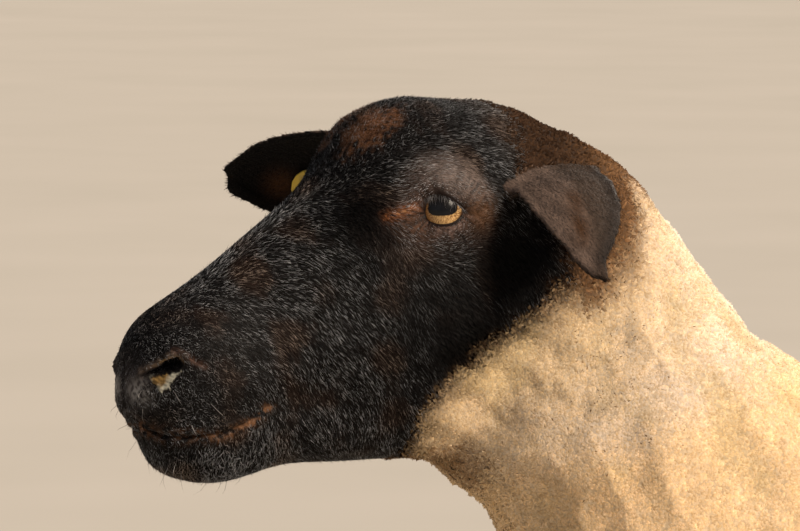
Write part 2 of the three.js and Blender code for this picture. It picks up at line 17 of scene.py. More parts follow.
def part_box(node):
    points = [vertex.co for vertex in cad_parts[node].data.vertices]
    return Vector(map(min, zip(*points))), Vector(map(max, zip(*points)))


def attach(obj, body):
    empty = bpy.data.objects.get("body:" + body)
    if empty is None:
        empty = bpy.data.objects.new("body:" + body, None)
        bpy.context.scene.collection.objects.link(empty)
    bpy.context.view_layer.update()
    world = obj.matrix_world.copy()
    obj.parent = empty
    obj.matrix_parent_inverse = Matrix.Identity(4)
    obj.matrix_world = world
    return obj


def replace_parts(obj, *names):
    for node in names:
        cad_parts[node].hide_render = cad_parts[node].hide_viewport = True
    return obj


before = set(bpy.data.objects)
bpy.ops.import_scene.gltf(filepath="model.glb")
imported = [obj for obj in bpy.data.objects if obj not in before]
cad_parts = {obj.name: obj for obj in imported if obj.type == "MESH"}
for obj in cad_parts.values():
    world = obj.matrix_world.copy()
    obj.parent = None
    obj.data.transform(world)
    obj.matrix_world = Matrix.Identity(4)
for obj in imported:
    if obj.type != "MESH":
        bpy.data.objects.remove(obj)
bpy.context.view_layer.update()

# %% [markdown]
# ## Where the head is
# The head is turned and nods, so everything on the face is measured in the head's own directions: forward to
# the nose, out to the sheep's left, and up to the brow. The two eyeballs give the middle and the left
# direction, and the nod is the one angle that they don't show. All face measures below are in millimetres.

# %% Measure in the head's own directions
MM = 0.001
HEAD_NOD = math.radians(22)


def middle_of(node):
    low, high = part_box(node)
    return (np.array(low) + np.array(high)) / 2


def lengths(vectors):
    return np.linalg.norm(vectors, axis=1)


left_eye, right_eye = middle_of("eye_left"), middle_of("eye_right")
head_middle = (left_eye + right_eye) / 2
to_left = (left_eye - right_eye) / np.linalg.norm(left_eye - right_eye)
level_forward = np.cross(to_left, (0.0, 0.0, 1.0))
to_nose = level_forward * math.cos(HEAD_NOD) - np.array((0, 0, math.sin(HEAD_NOD)))
to_brow = np.cross(to_nose, to_left)
head_axes = np.array([to_nose, to_left, to_brow])
EYE_OUT = np.linalg.norm(left_eye - right_eye) / 2 / MM
EYE_RADIUS = 14.5


def in_head(points):
    return (np.asarray(points) - head_middle) @ head_axes.T / MM


def from_head(places):
    return head_middle + np.asarray(places) * MM @ head_axes


print("eyes stand", round(EYE_OUT, 1), "mm out, nose points", [round(x, 3) for x in to_nose])

# %% [markdown]
# ## Camera, floor and light
# A long lens from the sheep's left side flattens the head the way a telephoto does. The floor is one large
# pale plane. The key is a low warm sun behind the shoulder, softened by a wide disc, with a cool broad fill
# from the front and a rim softbox over the back.

# %% Camera
SIGHT = Vector((-0.98949, 0.12149, -0.07846))
camera_data = bpy.data.cameras.new("camera")
camera_data.sensor_width = 36
camera_data.lens = 318.6
camera_data.clip_end = 200
camera = bpy.data.objects.new("camera", camera_data)
camera.location = (4.0443, -0.9334, 1.155)
camera.rotation_euler = SIGHT.to_track_quat("-Z", "Y").to_euler()
bpy.context.scene.collection.objects.link(camera)
bpy.context.scene.camera = camera


# %% Helpers for objects and meshes
def new_object(name, mesh, smooth=True):
    made = bpy.data.objects.new(name, mesh)
    bpy.context.scene.collection.objects.link(made)
    if smooth:
        mesh.polygons.foreach_set("use_smooth", np.ones(len(mesh.polygons), bool))
    return made


def mesh_from(shape, name):
    mesh = bpy.data.meshes.new(name)
    shape.to_mesh(mesh)
    shape.free()
    return mesh


# %% Helpers for shader nodes
def feed(tree, made, values):
    """Gives each input of a node its value, or a link where the value is another node's output."""
    for place, value in values.items():
        if isinstance(value, bpy.types.NodeSocket):
            tree.links.new(value, made.inputs[place])
        else:
            made.inputs[place].default_value = value


def node(tree, kind, **values):
    """A shader node. A value that names no input is a setting of the node itself."""
    made = tree.nodes.new(kind)
    for key, value in values.items():
        if key in made.inputs:
            feed(tree, made, {key: value})
        else:
            setattr(made, key, value)
    return made


def plain_material(name):
    material = bpy.data.materials.new(name)
    material.use_nodes = True
    tree = material.node_tree
    return material, tree, tree.nodes["Principled BSDF"]


def texture(tree, kind, **values):
    """A texture laid over the model's own space."""
    return node(tree, kind, Vector=node(tree, "ShaderNodeTexCoord").outputs["Object"], **values)


# %% Floor and lights
FLOOR_HALF = 60
floor_shape = bmesh.new()
bmesh.ops.create_grid(floor_shape, x_segments=1, y_segments=1, size=FLOOR_HALF)
floor = new_object("floor", mesh_from(floor_shape, "floor"), smooth=False)
floor_paint, tree, shader = plain_material("floor")
tint = node(tree, "ShaderNodeValToRGB", Fac=texture(tree, "ShaderNodeTexNoise", Scale=1.5).outputs["Fac"])
tint.color_ramp.elements[0].color = (0.50, 0.46, 0.40, 1)
tint.color_ramp.elements[1].color = (0.57, 0.52, 0.46, 1)
feed(tree, shader, {"Base Color": tint.outputs["Color"], "Roughness": 0.9})
floor.data.materials.append(floor_paint)


def softbox(name, place, aim, size, power, colour):
    lamp = bpy.data.lights.new(name, "AREA")
    lamp.shape = "DISK"
    lamp.size = size
    lamp.energy = power
    lamp.color = colour
    made = bpy.data.objects.new(name, lamp)
    made.location = place
    made.rotation_euler = (Vector(aim) - Vector(place)).to_track_quat("-Z", "Y").to_euler()
    bpy.context.scene.collection.objects.link(made)


def sunlight(name, toward, spread, strength, colour):
    lamp = bpy.data.lights.new(name, "SUN")
    lamp.angle = math.radians(spread)
    lamp.energy = strength
    lamp.color = colour
    made = bpy.data.objects.new(name, lamp)
    made.rotation_euler = Vector(toward).to_track_quat("Z", "Y").to_euler()
    bpy.context.scene.collection.objects.link(made)


CHEEK = (0.08, -0.40, 0.82)
sunlight("key", toward=(0.52, 0.67, 0.55), spread=20, strength=5.8, colour=(1.0, 0.86, 0.70))
softbox("rim", place=(-1.9, 1.2, 2.2), aim=CHEEK, size=1.6, power=60, colour=(1.0, 0.90, 0.78))
sunlight("fill", toward=(0.62, -0.52, 0.58), spread=75, strength=0.38, colour=(0.88, 0.93, 1.0))
world = bpy.data.worlds.new("world")
world.use_nodes = True
world.node_tree.nodes["Background"].inputs["Color"].default_value = (0.84, 0.88, 0.95, 1)
world.node_tree.nodes["Background"].inputs["Strength"].default_value = 0.18
bpy.context.scene.world = world
bpy.context.scene.view_settings.view_transform = "Standard"
print("lit from behind the shoulder, camera", round((camera.location - Vector(CHEEK)).length, 2), "m away")

# %% [markdown]
# ## One skin over all the flesh
# On the living animal the skin has no joints, so the nodes of flesh are copied, swelled until they overlap,
# and joined by a voxel remesh, which casts one closed surface round them. A remesh can't keep thin lids or
# lips, so those are sculpted afterwards. The trunk is thinned to large faces, since wool hides it, and the
# face keeps small ones.

# %% Join the flesh nodes
SWELL = 0.6
VOXEL = 2.5
bare_words = ("eye", "claw", "tag")
flesh = [name for name in sorted(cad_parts) if not any(word in name for word in bare_words)]


def merged_copy(name, swell):
    shape = bmesh.new()
    shape.from_mesh(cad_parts[name].data)
    bmesh.ops.remove_doubles(shape, verts=shape.verts, dist=1e-6)
    shape.normal_update()
    for corner in shape.verts:
        corner.co += corner.normal * swell * MM
    return shape


def joined(names, swell):
    whole = bmesh.new()
    for name in names:
        part = mesh_from(merged_copy(name, swell), "part")
        whole.from_mesh(part)
        bpy.data.meshes.remove(part)
    return mesh_from(whole, "joined")


def with_modifiers(mesh, *steps):
    """Applies modifiers, given as a kind and its settings, and returns the new mesh."""
    holder = bpy.data.objects.new("holder", mesh)
    bpy.context.scene.collection.objects.link(holder)
    for kind, settings in steps:
        step = holder.modifiers.new(kind, kind)
        for key, value in settings.items():
            if key == "weights":
                group = holder.vertex_groups.new(name="weights")
                group.add(np.flatnonzero(value).tolist(), 1.0, "REPLACE")
                step.vertex_group = group.name
            else:
                setattr(step, key, value)
    made = bpy.data.meshes.new_from_object(
        holder.evaluated_get(bpy.context.evaluated_depsgraph_get()))
    bpy.data.objects.remove(holder)
    return made


def points_of(mesh):
    found = np.empty(len(mesh.vertices) * 3)
    mesh.vertices.foreach_get("co", found)
    return found.reshape(-1, 3)


cast = with_modifiers(joined(flesh, SWELL), ("REMESH", {"mode": "VOXEL", "voxel_size": VOXEL * MM}))
print("cast skin", len(cast.vertices), "points from", len(flesh), "nodes")


# %% Where the ears are
EAR_LEFT = [(-68, 41, -9), (-65, 64, -12), (-59, 86, -22), (-51, 103, -36), (-46, 116, -48), (-44, 123, -57)]
EAR_RIGHT = [(-52, -33, -24), (-38, -57, -16), (-26, -81, -4), (-7, -105, 5), (14, -128, 14), (34, -144, 20)]


def nearest_on_line(places, line):
    """Distance to a chain of points, how far along it the nearest place lies from 0 to 1, and that place."""
    line = np.asarray(line, float)
    best = np.full(len(places), 1e9)
    along = np.zeros(len(places))
    foot = np.zeros(places.shape)
    for i, (a, b) in enumerate(zip(line[:-1], line[1:])):
        part = np.clip((places - a) @ (b - a) / ((b - a) @ (b - a)), 0, 1)
        gap = lengths(places - a - part[:, None] * (b - a))
        nearer = gap < best
        best[nearer] = gap[nearer]
        along[nearer] = (i + part[nearer]) / (len(line) - 1)
        foot[nearer] = (a + part[:, None] * (b - a))[nearer]
    return best, along, foot


def from_line(places, line):
    return nearest_on_line(places, line)[:2]


def ramp(value, start, end):
    t = np.clip((value - start) / (end - start), 0, 1)
    return t * t * (3 - 2 * t)


def solid_tree(name):
    shape = merged_copy(name, 0.0)
    tree = BVHTree.FromBMesh(shape)
    shape.free()
    return tree


EAR_SOLIDS = [(EAR_LEFT, solid_tree("ear_left")), (EAR_RIGHT, solid_tree("ear_right"))]


def on_ear(places):
    """1 on the thin leaves of the ears and 0 elsewhere, from the distance to their solids."""
    found = np.zeros(len(places))
    for line, tree in EAR_SOLIDS:
        close = np.flatnonzero(from_line(places, line)[0] < 50)
        gap = np.array([tree.find_nearest(Vector(point))[3] for point in from_head(places[close])]) / MM
        found[close] = np.maximum(found[close], ramp(gap, 4.5, 2.2))
    return found


# %% Smooth the facets away, thin the trunk and legs, keep the head fine
KEPT_POINTS = 64000
smoothed = with_modifiers(
    cast,
    ("SMOOTH", {"weights": on_ear(in_head(points_of(cast))) < 0.3, "factor": 0.5, "iterations": 8}),
    ("DECIMATE", {"ratio": 0.5}),
)
on_head = in_head(points_of(smoothed))
woolly_part = (on_head[:, 0] < -85) & (on_ear(on_head) < 0.1) | (on_head[:, 2] < -135)
thinned = with_modifiers(
    smoothed,
    ("DECIMATE", {"weights": woolly_part, "vertex_group_factor": 1.0,
                  "ratio": KEPT_POINTS / len(smoothed.vertices), "use_collapse_triangulate": True}),
)
print("thinned to", len(thinned.vertices), "points;", int((~woolly_part).sum()), "of them are on the head")

# %% [markdown]
# ## A flat map of the skin
# Every lock of the coat takes its place on a flat map of the skin, the way a hide lies when it is spread out.
# Unwrapping by the skin's own facing directions gives that map before the fine face detail is added.

# %% Unwrap the skin
skin = new_object("skin", thinned)
bpy.context.view_layer.objects.active = skin
skin.select_set(True)
thinned.uv_layers.new(name="OFBake")
bpy.ops.object.mode_set(mode="EDIT")
bpy.ops.mesh.select_all(action="SELECT")
bpy.ops.uv.smart_project(angle_limit=1.2, island_margin=0.002)
bpy.ops.object.mode_set(mode="OBJECT")
print("hide map made")


# %% [markdown]
# ## Tools for sculpting by measure
# A fold or a lip is a line in the head's millimetres. For every skin point the distance to such a line says
# how far to push it. The left line is mirrored for the right side.

# %% Distances, humps and soft ripples
def away_from(places, centre, stretch=1):
    """Distance to one place, in units of the stretch along each axis."""
    return lengths((places - centre) / stretch)


def hump(distance, width):
    return np.exp(-((distance / width) ** 2))


def ripple(places, size, seed, count=7):
    """A soft random relief from -1 to 1, made of a few crossing waves about `size` long."""
    chance = np.random.default_rng(seed)
    total = np.zeros(len(places))
    for _ in range(count):
        wave = chance.normal(size=places.shape[1])
        wave *= 2 * math.pi / np.linalg.norm(wave) / (size * chance.uniform(0.7, 1.6))
        total += np.sin(places @ wave + chance.uniform(0, 6.28))
    return total / math.sqrt(count / 2) / 1.8


# %% Lines and places on the face
MOUTH = [(207, 0, -44), (204, 8, -48), (198, 17, -52.5), (184.4, 29.8, -59),
         (169, 36.4, -62.5), (154, 39, -63), (141, 39.6, -59.5)]
NOSTRIL = [(196, 17, -18), (189.6, 23.6, -16.5), (182.5, 27.5, -15.5), (178.5, 29.5, -15.5)]
ALAR_CREASE = [(178, 29.5, -8), (173.5, 32.5, -13), (170.5, 35, -18), (166.8, 37.3, -22.6)]
PHILTRUM = [(197, 0, -10), (203, 0, -22), (206, 0, -34), (207, 0, -43)]
TEAR_GROOVE = [(18, 54, 9), (26, 51, 10.5), (35, 47.6, 11)]
CRUST = [(193.6, 22, -18.8), (179.3, 32, -20.2), (192.4, 25.6, -29)]
GAZE = np.array((0.42, 0.90, 0.06))
GAZE /= np.linalg.norm(GAZE)
EYE_LONG = np.array((26.0, -6.0, 8.4))
EYE_LONG -= EYE_LONG @ GAZE * GAZE
EYE_LONG /= np.linalg.norm(EYE_LONG)
EYE_HIGH = np.cross(EYE_LONG, GAZE)
LID_MIDDLE, LID_LONG, LID_TOP, LID_LOW = 0.9, 13.2, 9.8, 5.6
LID_DROP, LID_POWER = 0.35, 2.4
LID_SKEW_TOP, LID_SKEW_LOW = 0.2, -0.12
LID_SHELL = 18.2, 17.2


def crust_flakes(here):
    """A ragged three-cornered patch of dried crust under the nostril, from 0 to 1."""
    flat = here[:, (0, 2)]
    outside = np.full(len(here), -9.0)
    for start, end in zip(CRUST, CRUST[1:] + CRUST[:1]):
        along = np.array((end[0] - start[0], end[2] - start[2]))
        gap = (flat - (start[0], start[2])) @ (along[1], -along[0]) / np.linalg.norm(along)
        outside = np.maximum(outside, gap)
    outside += 0.5 * ripple(here, 4, 71) + 0.4 * ripple(here, 1.6, 72)
    return ramp(outside, 0.3, -0.5) * (here[:, 1] > 12)


def folded(places):
    found = places.copy()
    found[:, 1] = np.abs(found[:, 1])
    return found


def one_side(places):
    """All places moved to the sheep's left, and -1 for those that came from its right."""
    return folded(places), np.where(places[:, 1] < 0, -1.0, 1.0)


def eye_places(folded_places):
    """Along the lids, up across them, and out along the gaze, from the middle of the eyeball."""
    away = folded_places - (0, EYE_OUT, 0)
    return np.stack([away @ EYE_LONG, away @ EYE_HIGH, away @ GAZE], 1)


def on_ball(eye):
    """Distance from the middle of the eyeball, and the place on the ball straight below."""
    reach = lengths(eye)
    return reach, eye / np.maximum(reach, 1e-6)[:, None] * EYE_RADIUS


def lid_distance(eye):
    """Millimetres from the edge of the lids, seen on the ball: below 0 in the opening."""
    _, across = on_ball(eye)
    x, y = (across[:, 0] - LID_MIDDLE) / LID_LONG, across[:, 1] + LID_DROP
    high = np.where(y > 0, LID_TOP, LID_LOW)
    x = np.abs(x - np.where(y > 0, LID_SKEW_TOP, LID_SKEW_LOW) * np.maximum(1 - x * x, 0))
    edge = high * (1 - np.minimum(x, 3) ** LID_POWER)
    slope = LID_POWER * high / LID_LONG * np.minimum(x, 1.5) ** (LID_POWER - 1)
    gap = (np.abs(y) - edge) / np.sqrt(1 + slope**2)
    return np.where(eye[:, 2] > 0, gap, 40)


def close_to_ball(eye):
    """1 on the lids' own shell and 0 farther out, where the surface only lies in front of the eye."""
    return ramp(lengths(eye), *LID_SHELL)


# %% [markdown]
# ## Finer faces where the face needs them
# Lids, nostrils and lips are only a millimetre or two wide, so the faces round them are cut in four, twice.

# %% Cut the faces round eyes, nostrils and mouth
def near_details(places, reach):
    here = folded(places)
    eye = eye_places(here)
    lid = lid_distance(eye)
    found = (lid > -3) & (lid < reach + 4) & (lengths(eye) < 24)
    lines = (NOSTRIL, 4), (MOUTH, 0), (ALAR_CREASE, 0), (PHILTRUM, 0), (TEAR_GROOVE, 0), (CRUST, 2)
    for line, extra in lines:
        found |= from_line(here, line)[0] < reach + extra
    return found


def refine(mesh, wanted):
    shape = bmesh.new()
    shape.from_mesh(mesh)
    centres = np.array([face.calc_center_median() for face in shape.faces])
    chosen = {edge for face, yes in zip(shape.faces, wanted(in_head(centres))) if yes for edge in face.edges}
    bmesh.ops.subdivide_edges(shape, edges=list(chosen), cuts=1, use_grid_fill=True)
    bmesh.ops.triangulate(shape, faces=[face for face in shape.faces if len(face.verts) > 3])
    shape.to_mesh(mesh)
    shape.free()
    mesh.update()


refine(skin.data, lambda places: near_details(places, 8))
refine(skin.data, lambda places: near_details(places, 3.2))
print("refined skin", len(skin.data.polygons), "triangles")


# %% [markdown]
# ## Coat depth
# The solids reach the tips of the coat, so the skin lies below them by the depth of the coat: four to eight
# millimetres under the wool, one to three on the face and legs, and almost nothing at the lids and lips.
# The same measures of where wool starts decide the markings, so they are written once.

# %% Where wool, black hair and ears are
BLACK_EDGE = [(-64, 90), (-66, 30), (-54, 15), (-45, 2), (-48, -10), (-58, -35), (-50, -58), (-34, -68),
              (-2, -74), (30, -80), (47, -88), (56, -101), (64, -115), (68, -135), (70, -200)]
BROWN_EDGE = [(-118, 90), (-128, 30), (-134, -5), (-131, -35), (-122, -50), (-106, -63), (-86, -77),
              (-66, -86), (-60, -200)]
SPECKED = [(-67, -78), (-60, -105), (-48, -150)]
FORELEG_BLACK, HINDLEG_BLACK = 0.375, 0.405


def behind_line(places, line):
    """Millimetres behind a line on the side of the head: below 0 in front of it."""
    flat = places[:, (0, 2)]
    gap, _ = from_line(flat, line)
    edge_at = np.interp(-flat[:, 1], [-p[1] for p in line], [p[0] for p in line])
    return np.where(flat[:, 0] < edge_at, gap, -gap)


def coat_facts(points):
    """For each point: wool from 0 to 1, millimetres behind the black face, ear and leg from 0 to 1."""
    places = in_head(points)
    behind = behind_line(places, BLACK_EDGE) + 3.0 * ripple(places, 14, 3) + 2.0 * ripple(places, 5, 4)
    ear = on_ear(places)
    leg_top = np.where(points[:, 1] < 0.1, FORELEG_BLACK, HINDLEG_BLACK) / MM
    height = points[:, 2] / MM + 5 * ripple(points / MM, 30, 5)
    leg = ramp(height, leg_top + 4, leg_top - 8)
    wool = ramp(behind, 0, 14) * (1 - ear) * (1 - leg)
    return wool, behind, ear, leg


def coat_depth(points):
    _, behind, ear, leg = coat_facts(points)
    here = folded(in_head(points))
    deep = 1.3 + ramp(behind, -4, 25) * 2.6 + ramp(behind, 120, 220) * 4.4
    deep = deep * (1 - leg) + 1.6 * leg
    deep = deep * (1 - ear) + 0.9 * ear
    deep += 2.0 * hump(from_line(here, [(20, 8, 52), (-50, 8, 44)])[0], 26)
    eye = lengths(eye_places(here))
    return deep * ramp(eye, 17, 30) * (1 - 0.6 * ramp(here[:, 0], 120, 180))


# %% The rims of the ears
EAR_RIMS = [
    (EAR_LEFT, [(-43, 42, -2), (-38, 66, -6), (-33, 88, -17), (-33, 105, -34), (-36, 116, -50),
                (-43, 123, -59)]),
    (EAR_LEFT, [(-93, 40, -16), (-95, 63, -19), (-86, 85, -30), (-69, 102, -39), (-51, 114, -47),
                (-44, 123, -58)]),
    (EAR_RIGHT, [(-47, -27, -12), (-33, -47, 3), (-23, -67, 27), (-3, -92, 37.5), (18, -119, 39),
                 (35, -143, 28)]),
    (EAR_RIGHT, [(-56, -40, -37), (-43, -67, -35), (-30, -95, -34), (-11, -118, -26), (10, -137, -11),
                 (32, -145, 13)]),
]


def ear_rims(places):
    """1 at the thin edges of the ears and 0 elsewhere, and the way out across each edge."""
    found, away = np.zeros(len(places)), np.zeros((len(places), 3))
    for middle, rim in EAR_RIMS:
        gap, _ = from_line(places, rim)
        near = gap < 12
        share = ramp(gap[near], 7, 2) * on_ear(places[near])
        best, _, foot = nearest_on_line(places[near], middle)
        way = (places[near] - foot) / np.maximum(best, 1)[:, None]
        more = share > found[near]
        found[near] = np.where(more, share, found[near])
        away[near] = np.where(more[:, None], way @ head_axes, away[near])
    return found, away


# %% Smooth the trunk and sink the skin
RIM_KEPT = 0.8
RIM_PUSH = 0.5


def smooth_trunk(mesh, rounds=8):
    shape = bmesh.new()
    shape.from_mesh(mesh)
    places = in_head(np.array([corner.co for corner in shape.verts]))
    loose = (places[:, 0] < -60) & (np.abs(places[:, 1]) < 400) & (on_ear(places) < 0.01)
    chosen = [corner for corner, yes in zip(shape.verts, loose) if yes]
    for _ in range(rounds):
        bmesh.ops.smooth_vert(
            shape, verts=chosen, factor=0.5, use_axis_x=True, use_axis_y=True, use_axis_z=True)
    shape.to_mesh(mesh)
    shape.free()


def normals_of(mesh):
    found = np.empty(len(mesh.vertices) * 3)
    mesh.vertices.foreach_get("normal", found)
    return found.reshape(-1, 3)


def place_points(mesh, points):
    mesh.vertices.foreach_set("co", points.ravel())
    mesh.update()


smooth_trunk(skin.data)
points = points_of(skin.data)
rim, rim_out = ear_rims(in_head(points))
sink = (coat_depth(points) + SWELL) * (1 - RIM_KEPT * rim)
sunk = points - normals_of(skin.data) * (sink * MM)[:, None] + rim_out * (RIM_PUSH * rim * MM)[:, None]
place_points(skin.data, sunk)
print("skin sunk by", round(float(sink.min()), 1), "to", round(float(sink.max()), 1), "mm")

# %% [markdown]
# ## Sculpting the face
# The lids are a shell just proud of the eyeball, with an almond opening whose edge rolls under. Inside the
# opening the skin dives behind the ball. The nostril is a slit pushed in towards the throat, and the mouth,
# the groove under the nose and the tear groove are narrow folds.

# %% Lids
LID_RADII = [(-9, 11.0), (-1.1, 11.5), (-0.5, 14.2), (0.0, 15.4), (0.7, 16.1), (1.8, 16.6), (3.4, 16.7),
             (4.6, 15.9), (6.0, 16.9), (9.0, 18.0)]
LID_PULL = 5.0
WRINKLE_HIGH, WRINKLE_TURN = 0.35, 2.4
points = points_of(skin.data)
here, side = one_side(in_head(points))
eye = eye_places(here)
reach, across = on_ball(eye)
to_middle = np.stack([np.clip(across[:, 0], -8, 8) - across[:, 0], -across[:, 1]], 1)
drawn = LID_PULL * ramp(lid_distance(eye), 12, 2) * ramp(reach, 27, 22) * (eye[:, 2] > 0)
across[:, :2] += to_middle * (drawn / np.maximum(lengths(to_middle), 5.1))[:, None]
across[:, 2] = np.sqrt(np.maximum(EYE_RADIUS**2 - across[:, 0] ** 2 - across[:, 1] ** 2, 0.1))
eye = np.where(drawn[:, None] > 0, across * (reach / EYE_RADIUS)[:, None], eye)
lid = lid_distance(eye)
wanted = np.interp(lid, [r[0] for r in LID_RADII], [r[1] for r in LID_RADII])
wanted += WRINKLE_HIGH * np.sin(lid * WRINKLE_TURN) * ramp(lid, 2.0, 4.0) * ramp(lid, 11, 7)
hold = ramp(lid, 9.5, 5.0) * ramp(reach, 27, 23) * (eye[:, 2] > 0)
eye *= (1 + hold * (wanted / np.maximum(reach, 1e-6) - 1))[:, None]
here = (0, EYE_OUT, 0) + eye[:, :1] * EYE_LONG + eye[:, 1:2] * EYE_HIGH + eye[:, 2:] * GAZE
here[:, 1] *= side
place_points(skin.data, from_head(here))
print("lids shaped on", int((hold > 0.5).sum()), "points")

# %% Nostrils, mouth and folds
points = points_of(skin.data)
here, side = one_side(in_head(points))
outward = normals_of(skin.data) @ head_axes.T
outward[:, 1] *= side

slit, along = from_line(here, NOSTRIL)
slit_half = np.interp(along, [0, 0.3, 0.6, 1], [0.6, 1.7, 2.6, 2.5])
inside = ramp(slit, slit_half + 1.2, slit_half - 0.4)
into_nose = np.array((-0.42, -0.86, -0.08))
here += inside[:, None] * into_nose * np.interp(along, [0, 0.3, 1], [4.0, 9.0, 11.0])[:, None]
wing = hump(slit - slit_half - 2.8, 2.0) * (1 - inside)
above = ramp(here[:, 2], -19, -15)
here += outward * ((0.4 + 1.5 * above * (1 + 0.5 * ripple(here, 4.5, 12))) * wing)[:, None]
flakes = crust_flakes(here) * (1 - inside)
here += outward * (flakes * (0.55 + 0.25 * ripple(here, 1.6, 74)))[:, None]
crease, _ = from_line(here, ALAR_CREASE)
here -= outward * (0.8 * hump(crease, 1.1) * (1 - inside))[:, None]
groove, _ = from_line(here, PHILTRUM)
here -= outward * (1.7 * hump(groove, 1.2))[:, None]
lips, lip_along = from_line(here, MOUTH)
lip_deep = np.interp(lip_along, [0, 0.1, 0.9, 1], [2.6, 3.2, 3.0, 1.2])
here -= outward * (lip_deep * hump(lips, 1.25))[:, None]
here += outward * (0.7 * hump(lips - 3.2, 1.6))[:, None]
tear, _ = from_line(here, TEAR_GROOVE)
here -= outward * (1.2 * hump(tear, 1.6) * ramp(lid, 0.5, 3))[:, None]
nose_skin = hump(away_from(here, (198, 10, -22)), 16)
here += outward * (0.16 * ripple(here, 2.4, 11) * nose_skin)[:, None]
here[:, 1] *= side
place_points(skin.data, from_head(here))
print("nostril pushed in on", int((inside > 0.5).sum()), "points, mouth on", int((lips < 1.2).sum()))

# %% Folds in the neck and softness of the fleece
def neck_rolls(points):
    """Soft rolls that run up and down, drawn out along the height."""
    return ripple(points / MM * (1.0, 1.0, 0.28), 34, 21)


points = points_of(skin.data)
wool, behind, _, _ = coat_facts(points)
neck = ramp(points[:, 1], 0.02, -0.16) * wool * ramp(behind, 14, 60)
lift = 2.2 * neck_rolls(points) * neck + 1.1 * ripple(points / MM, 24, 22) * wool
lift += 0.7 * ripple(points / MM, 8, 23) * neck
place_points(skin.data, points + normals_of(skin.data) * (lift * MM)[:, None])
print("fleece relief", round(float(lift.min()), 1), "to", round(float(lift.max()), 1), "mm")


# %% [markdown]
# ## The markings
# One rule colours skin and coat alike. The face and legs are black with russet blotches, the ears dark brown
# velvet. A rusty brown patch of frizz sits on the forehead, brown wool covers the poll behind the ears, and
# the fleece is cream. Round the eye lie grey-brown arcs and a rusty tear stain, and rust edges the lips.
# Some light is painted too: shade on the face under the ear, inside the ears, in the neck's rolls and on the
# wool near the face, a pale sheen on glossy hairs, and a highlight on the nape.

# %% Layers of colour
def blend(first, second, share):
    first = np.asarray(first)
    return first + (np.asarray(second) - first) * np.asarray(share)[:, None]


def painted(colour, *layers):
    """Lays each paint over the colour in turn, as thickly as its share says."""
    for paint, share in layers:
        colour = blend(colour, paint, share)
    return colour


# %% Black hair and its russet blotches
def black_and_shaded_places(here):
    """1 where the hair is blackest and shade is painted into it: in front of the eye, under the ear and at
    the jaw.
    """
    before_eye = hump(away_from(here, (48, 40, 18), (1, 1, 1.3)), 24)
    under_ear = hump(away_from(here, (-24, 60, -44), (1.3, 1, 1.2)), 30)
    at_jaw = 0.95 * hump(away_from(here, (20, 58, -72), (1.2, 1, 1.4)), 38)
    return np.maximum.reduce([before_eye, under_ear, at_jaw])


def russet_places(here):
    """The wide soft blotches in which black hair turns russet."""
    return ripple(here, 26, 62)


# %% Round the eye
def eye_surround(colour, here, fine):
    """Grey-brown arcs above the eye, the edges of the lids, and the tear stain in the front corner."""
    brow = eye_places(here)
    lid = lid_distance(brow)
    reach = lengths(brow)
    near = ramp(reach, 38, 20) * (brow[:, 2] > -2)
    lower_lid = ramp(lid, 4.6, 1.6) * near * ramp(reach, 20, 18) * ramp(brow[:, 1], 0, -4)
    upper_fold = hump(lid - 4.8, 2.2) * near * ramp(brow[:, 1], 1, 5)
    colour = painted(
        colour,
        ((0.034, 0.023, 0.019), near * ramp(brow[:, 1], -2, 8) * (0.75 + 0.2 * fine)),
        ((0.042, 0.026, 0.021), near * ramp(lid, 9, 3) * 0.6),
        ((0.17, 0.110, 0.092), lower_lid * 0.85),
        ((0.18, 0.140, 0.125), upper_fold * 0.7),
        ((0.060, 0.038, 0.030), hump(away_from(here, (22, 53, -5)), 13) * 0.6),
    )
    tiny = ripple(here, 2.6, 35)
    low_side = ramp(brow[:, 1], 0, -5) * ramp(lid, 1.5, 4)
    tear, _ = from_line(here, TEAR_GROOVE)
    return painted(
        colour * (1 + near * (0.5 * tiny - 0.15 - 0.4 * low_side))[:, None],
        ((0.32, 0.115, 0.042), hump(tear, 3.0) * ramp(here[:, 0], 42, 34) * (0.6 + 0.4 * tiny)),
        ((0.78, 0.50, 0.24), hump(tear, 0.8) * ramp(here[:, 0], 40, 32) * ramp(tiny, -0.5, 0.6)),
        ((0.12, 0.055, 0.028), hump(away_from(here, (21, 52, 2)), 9) * (0.45 + 0.35 * tiny)),
        ((0.11, 0.050, 0.020), hump(away_from(here, (-15, 58, -7)), 9) * 0.6),
    )


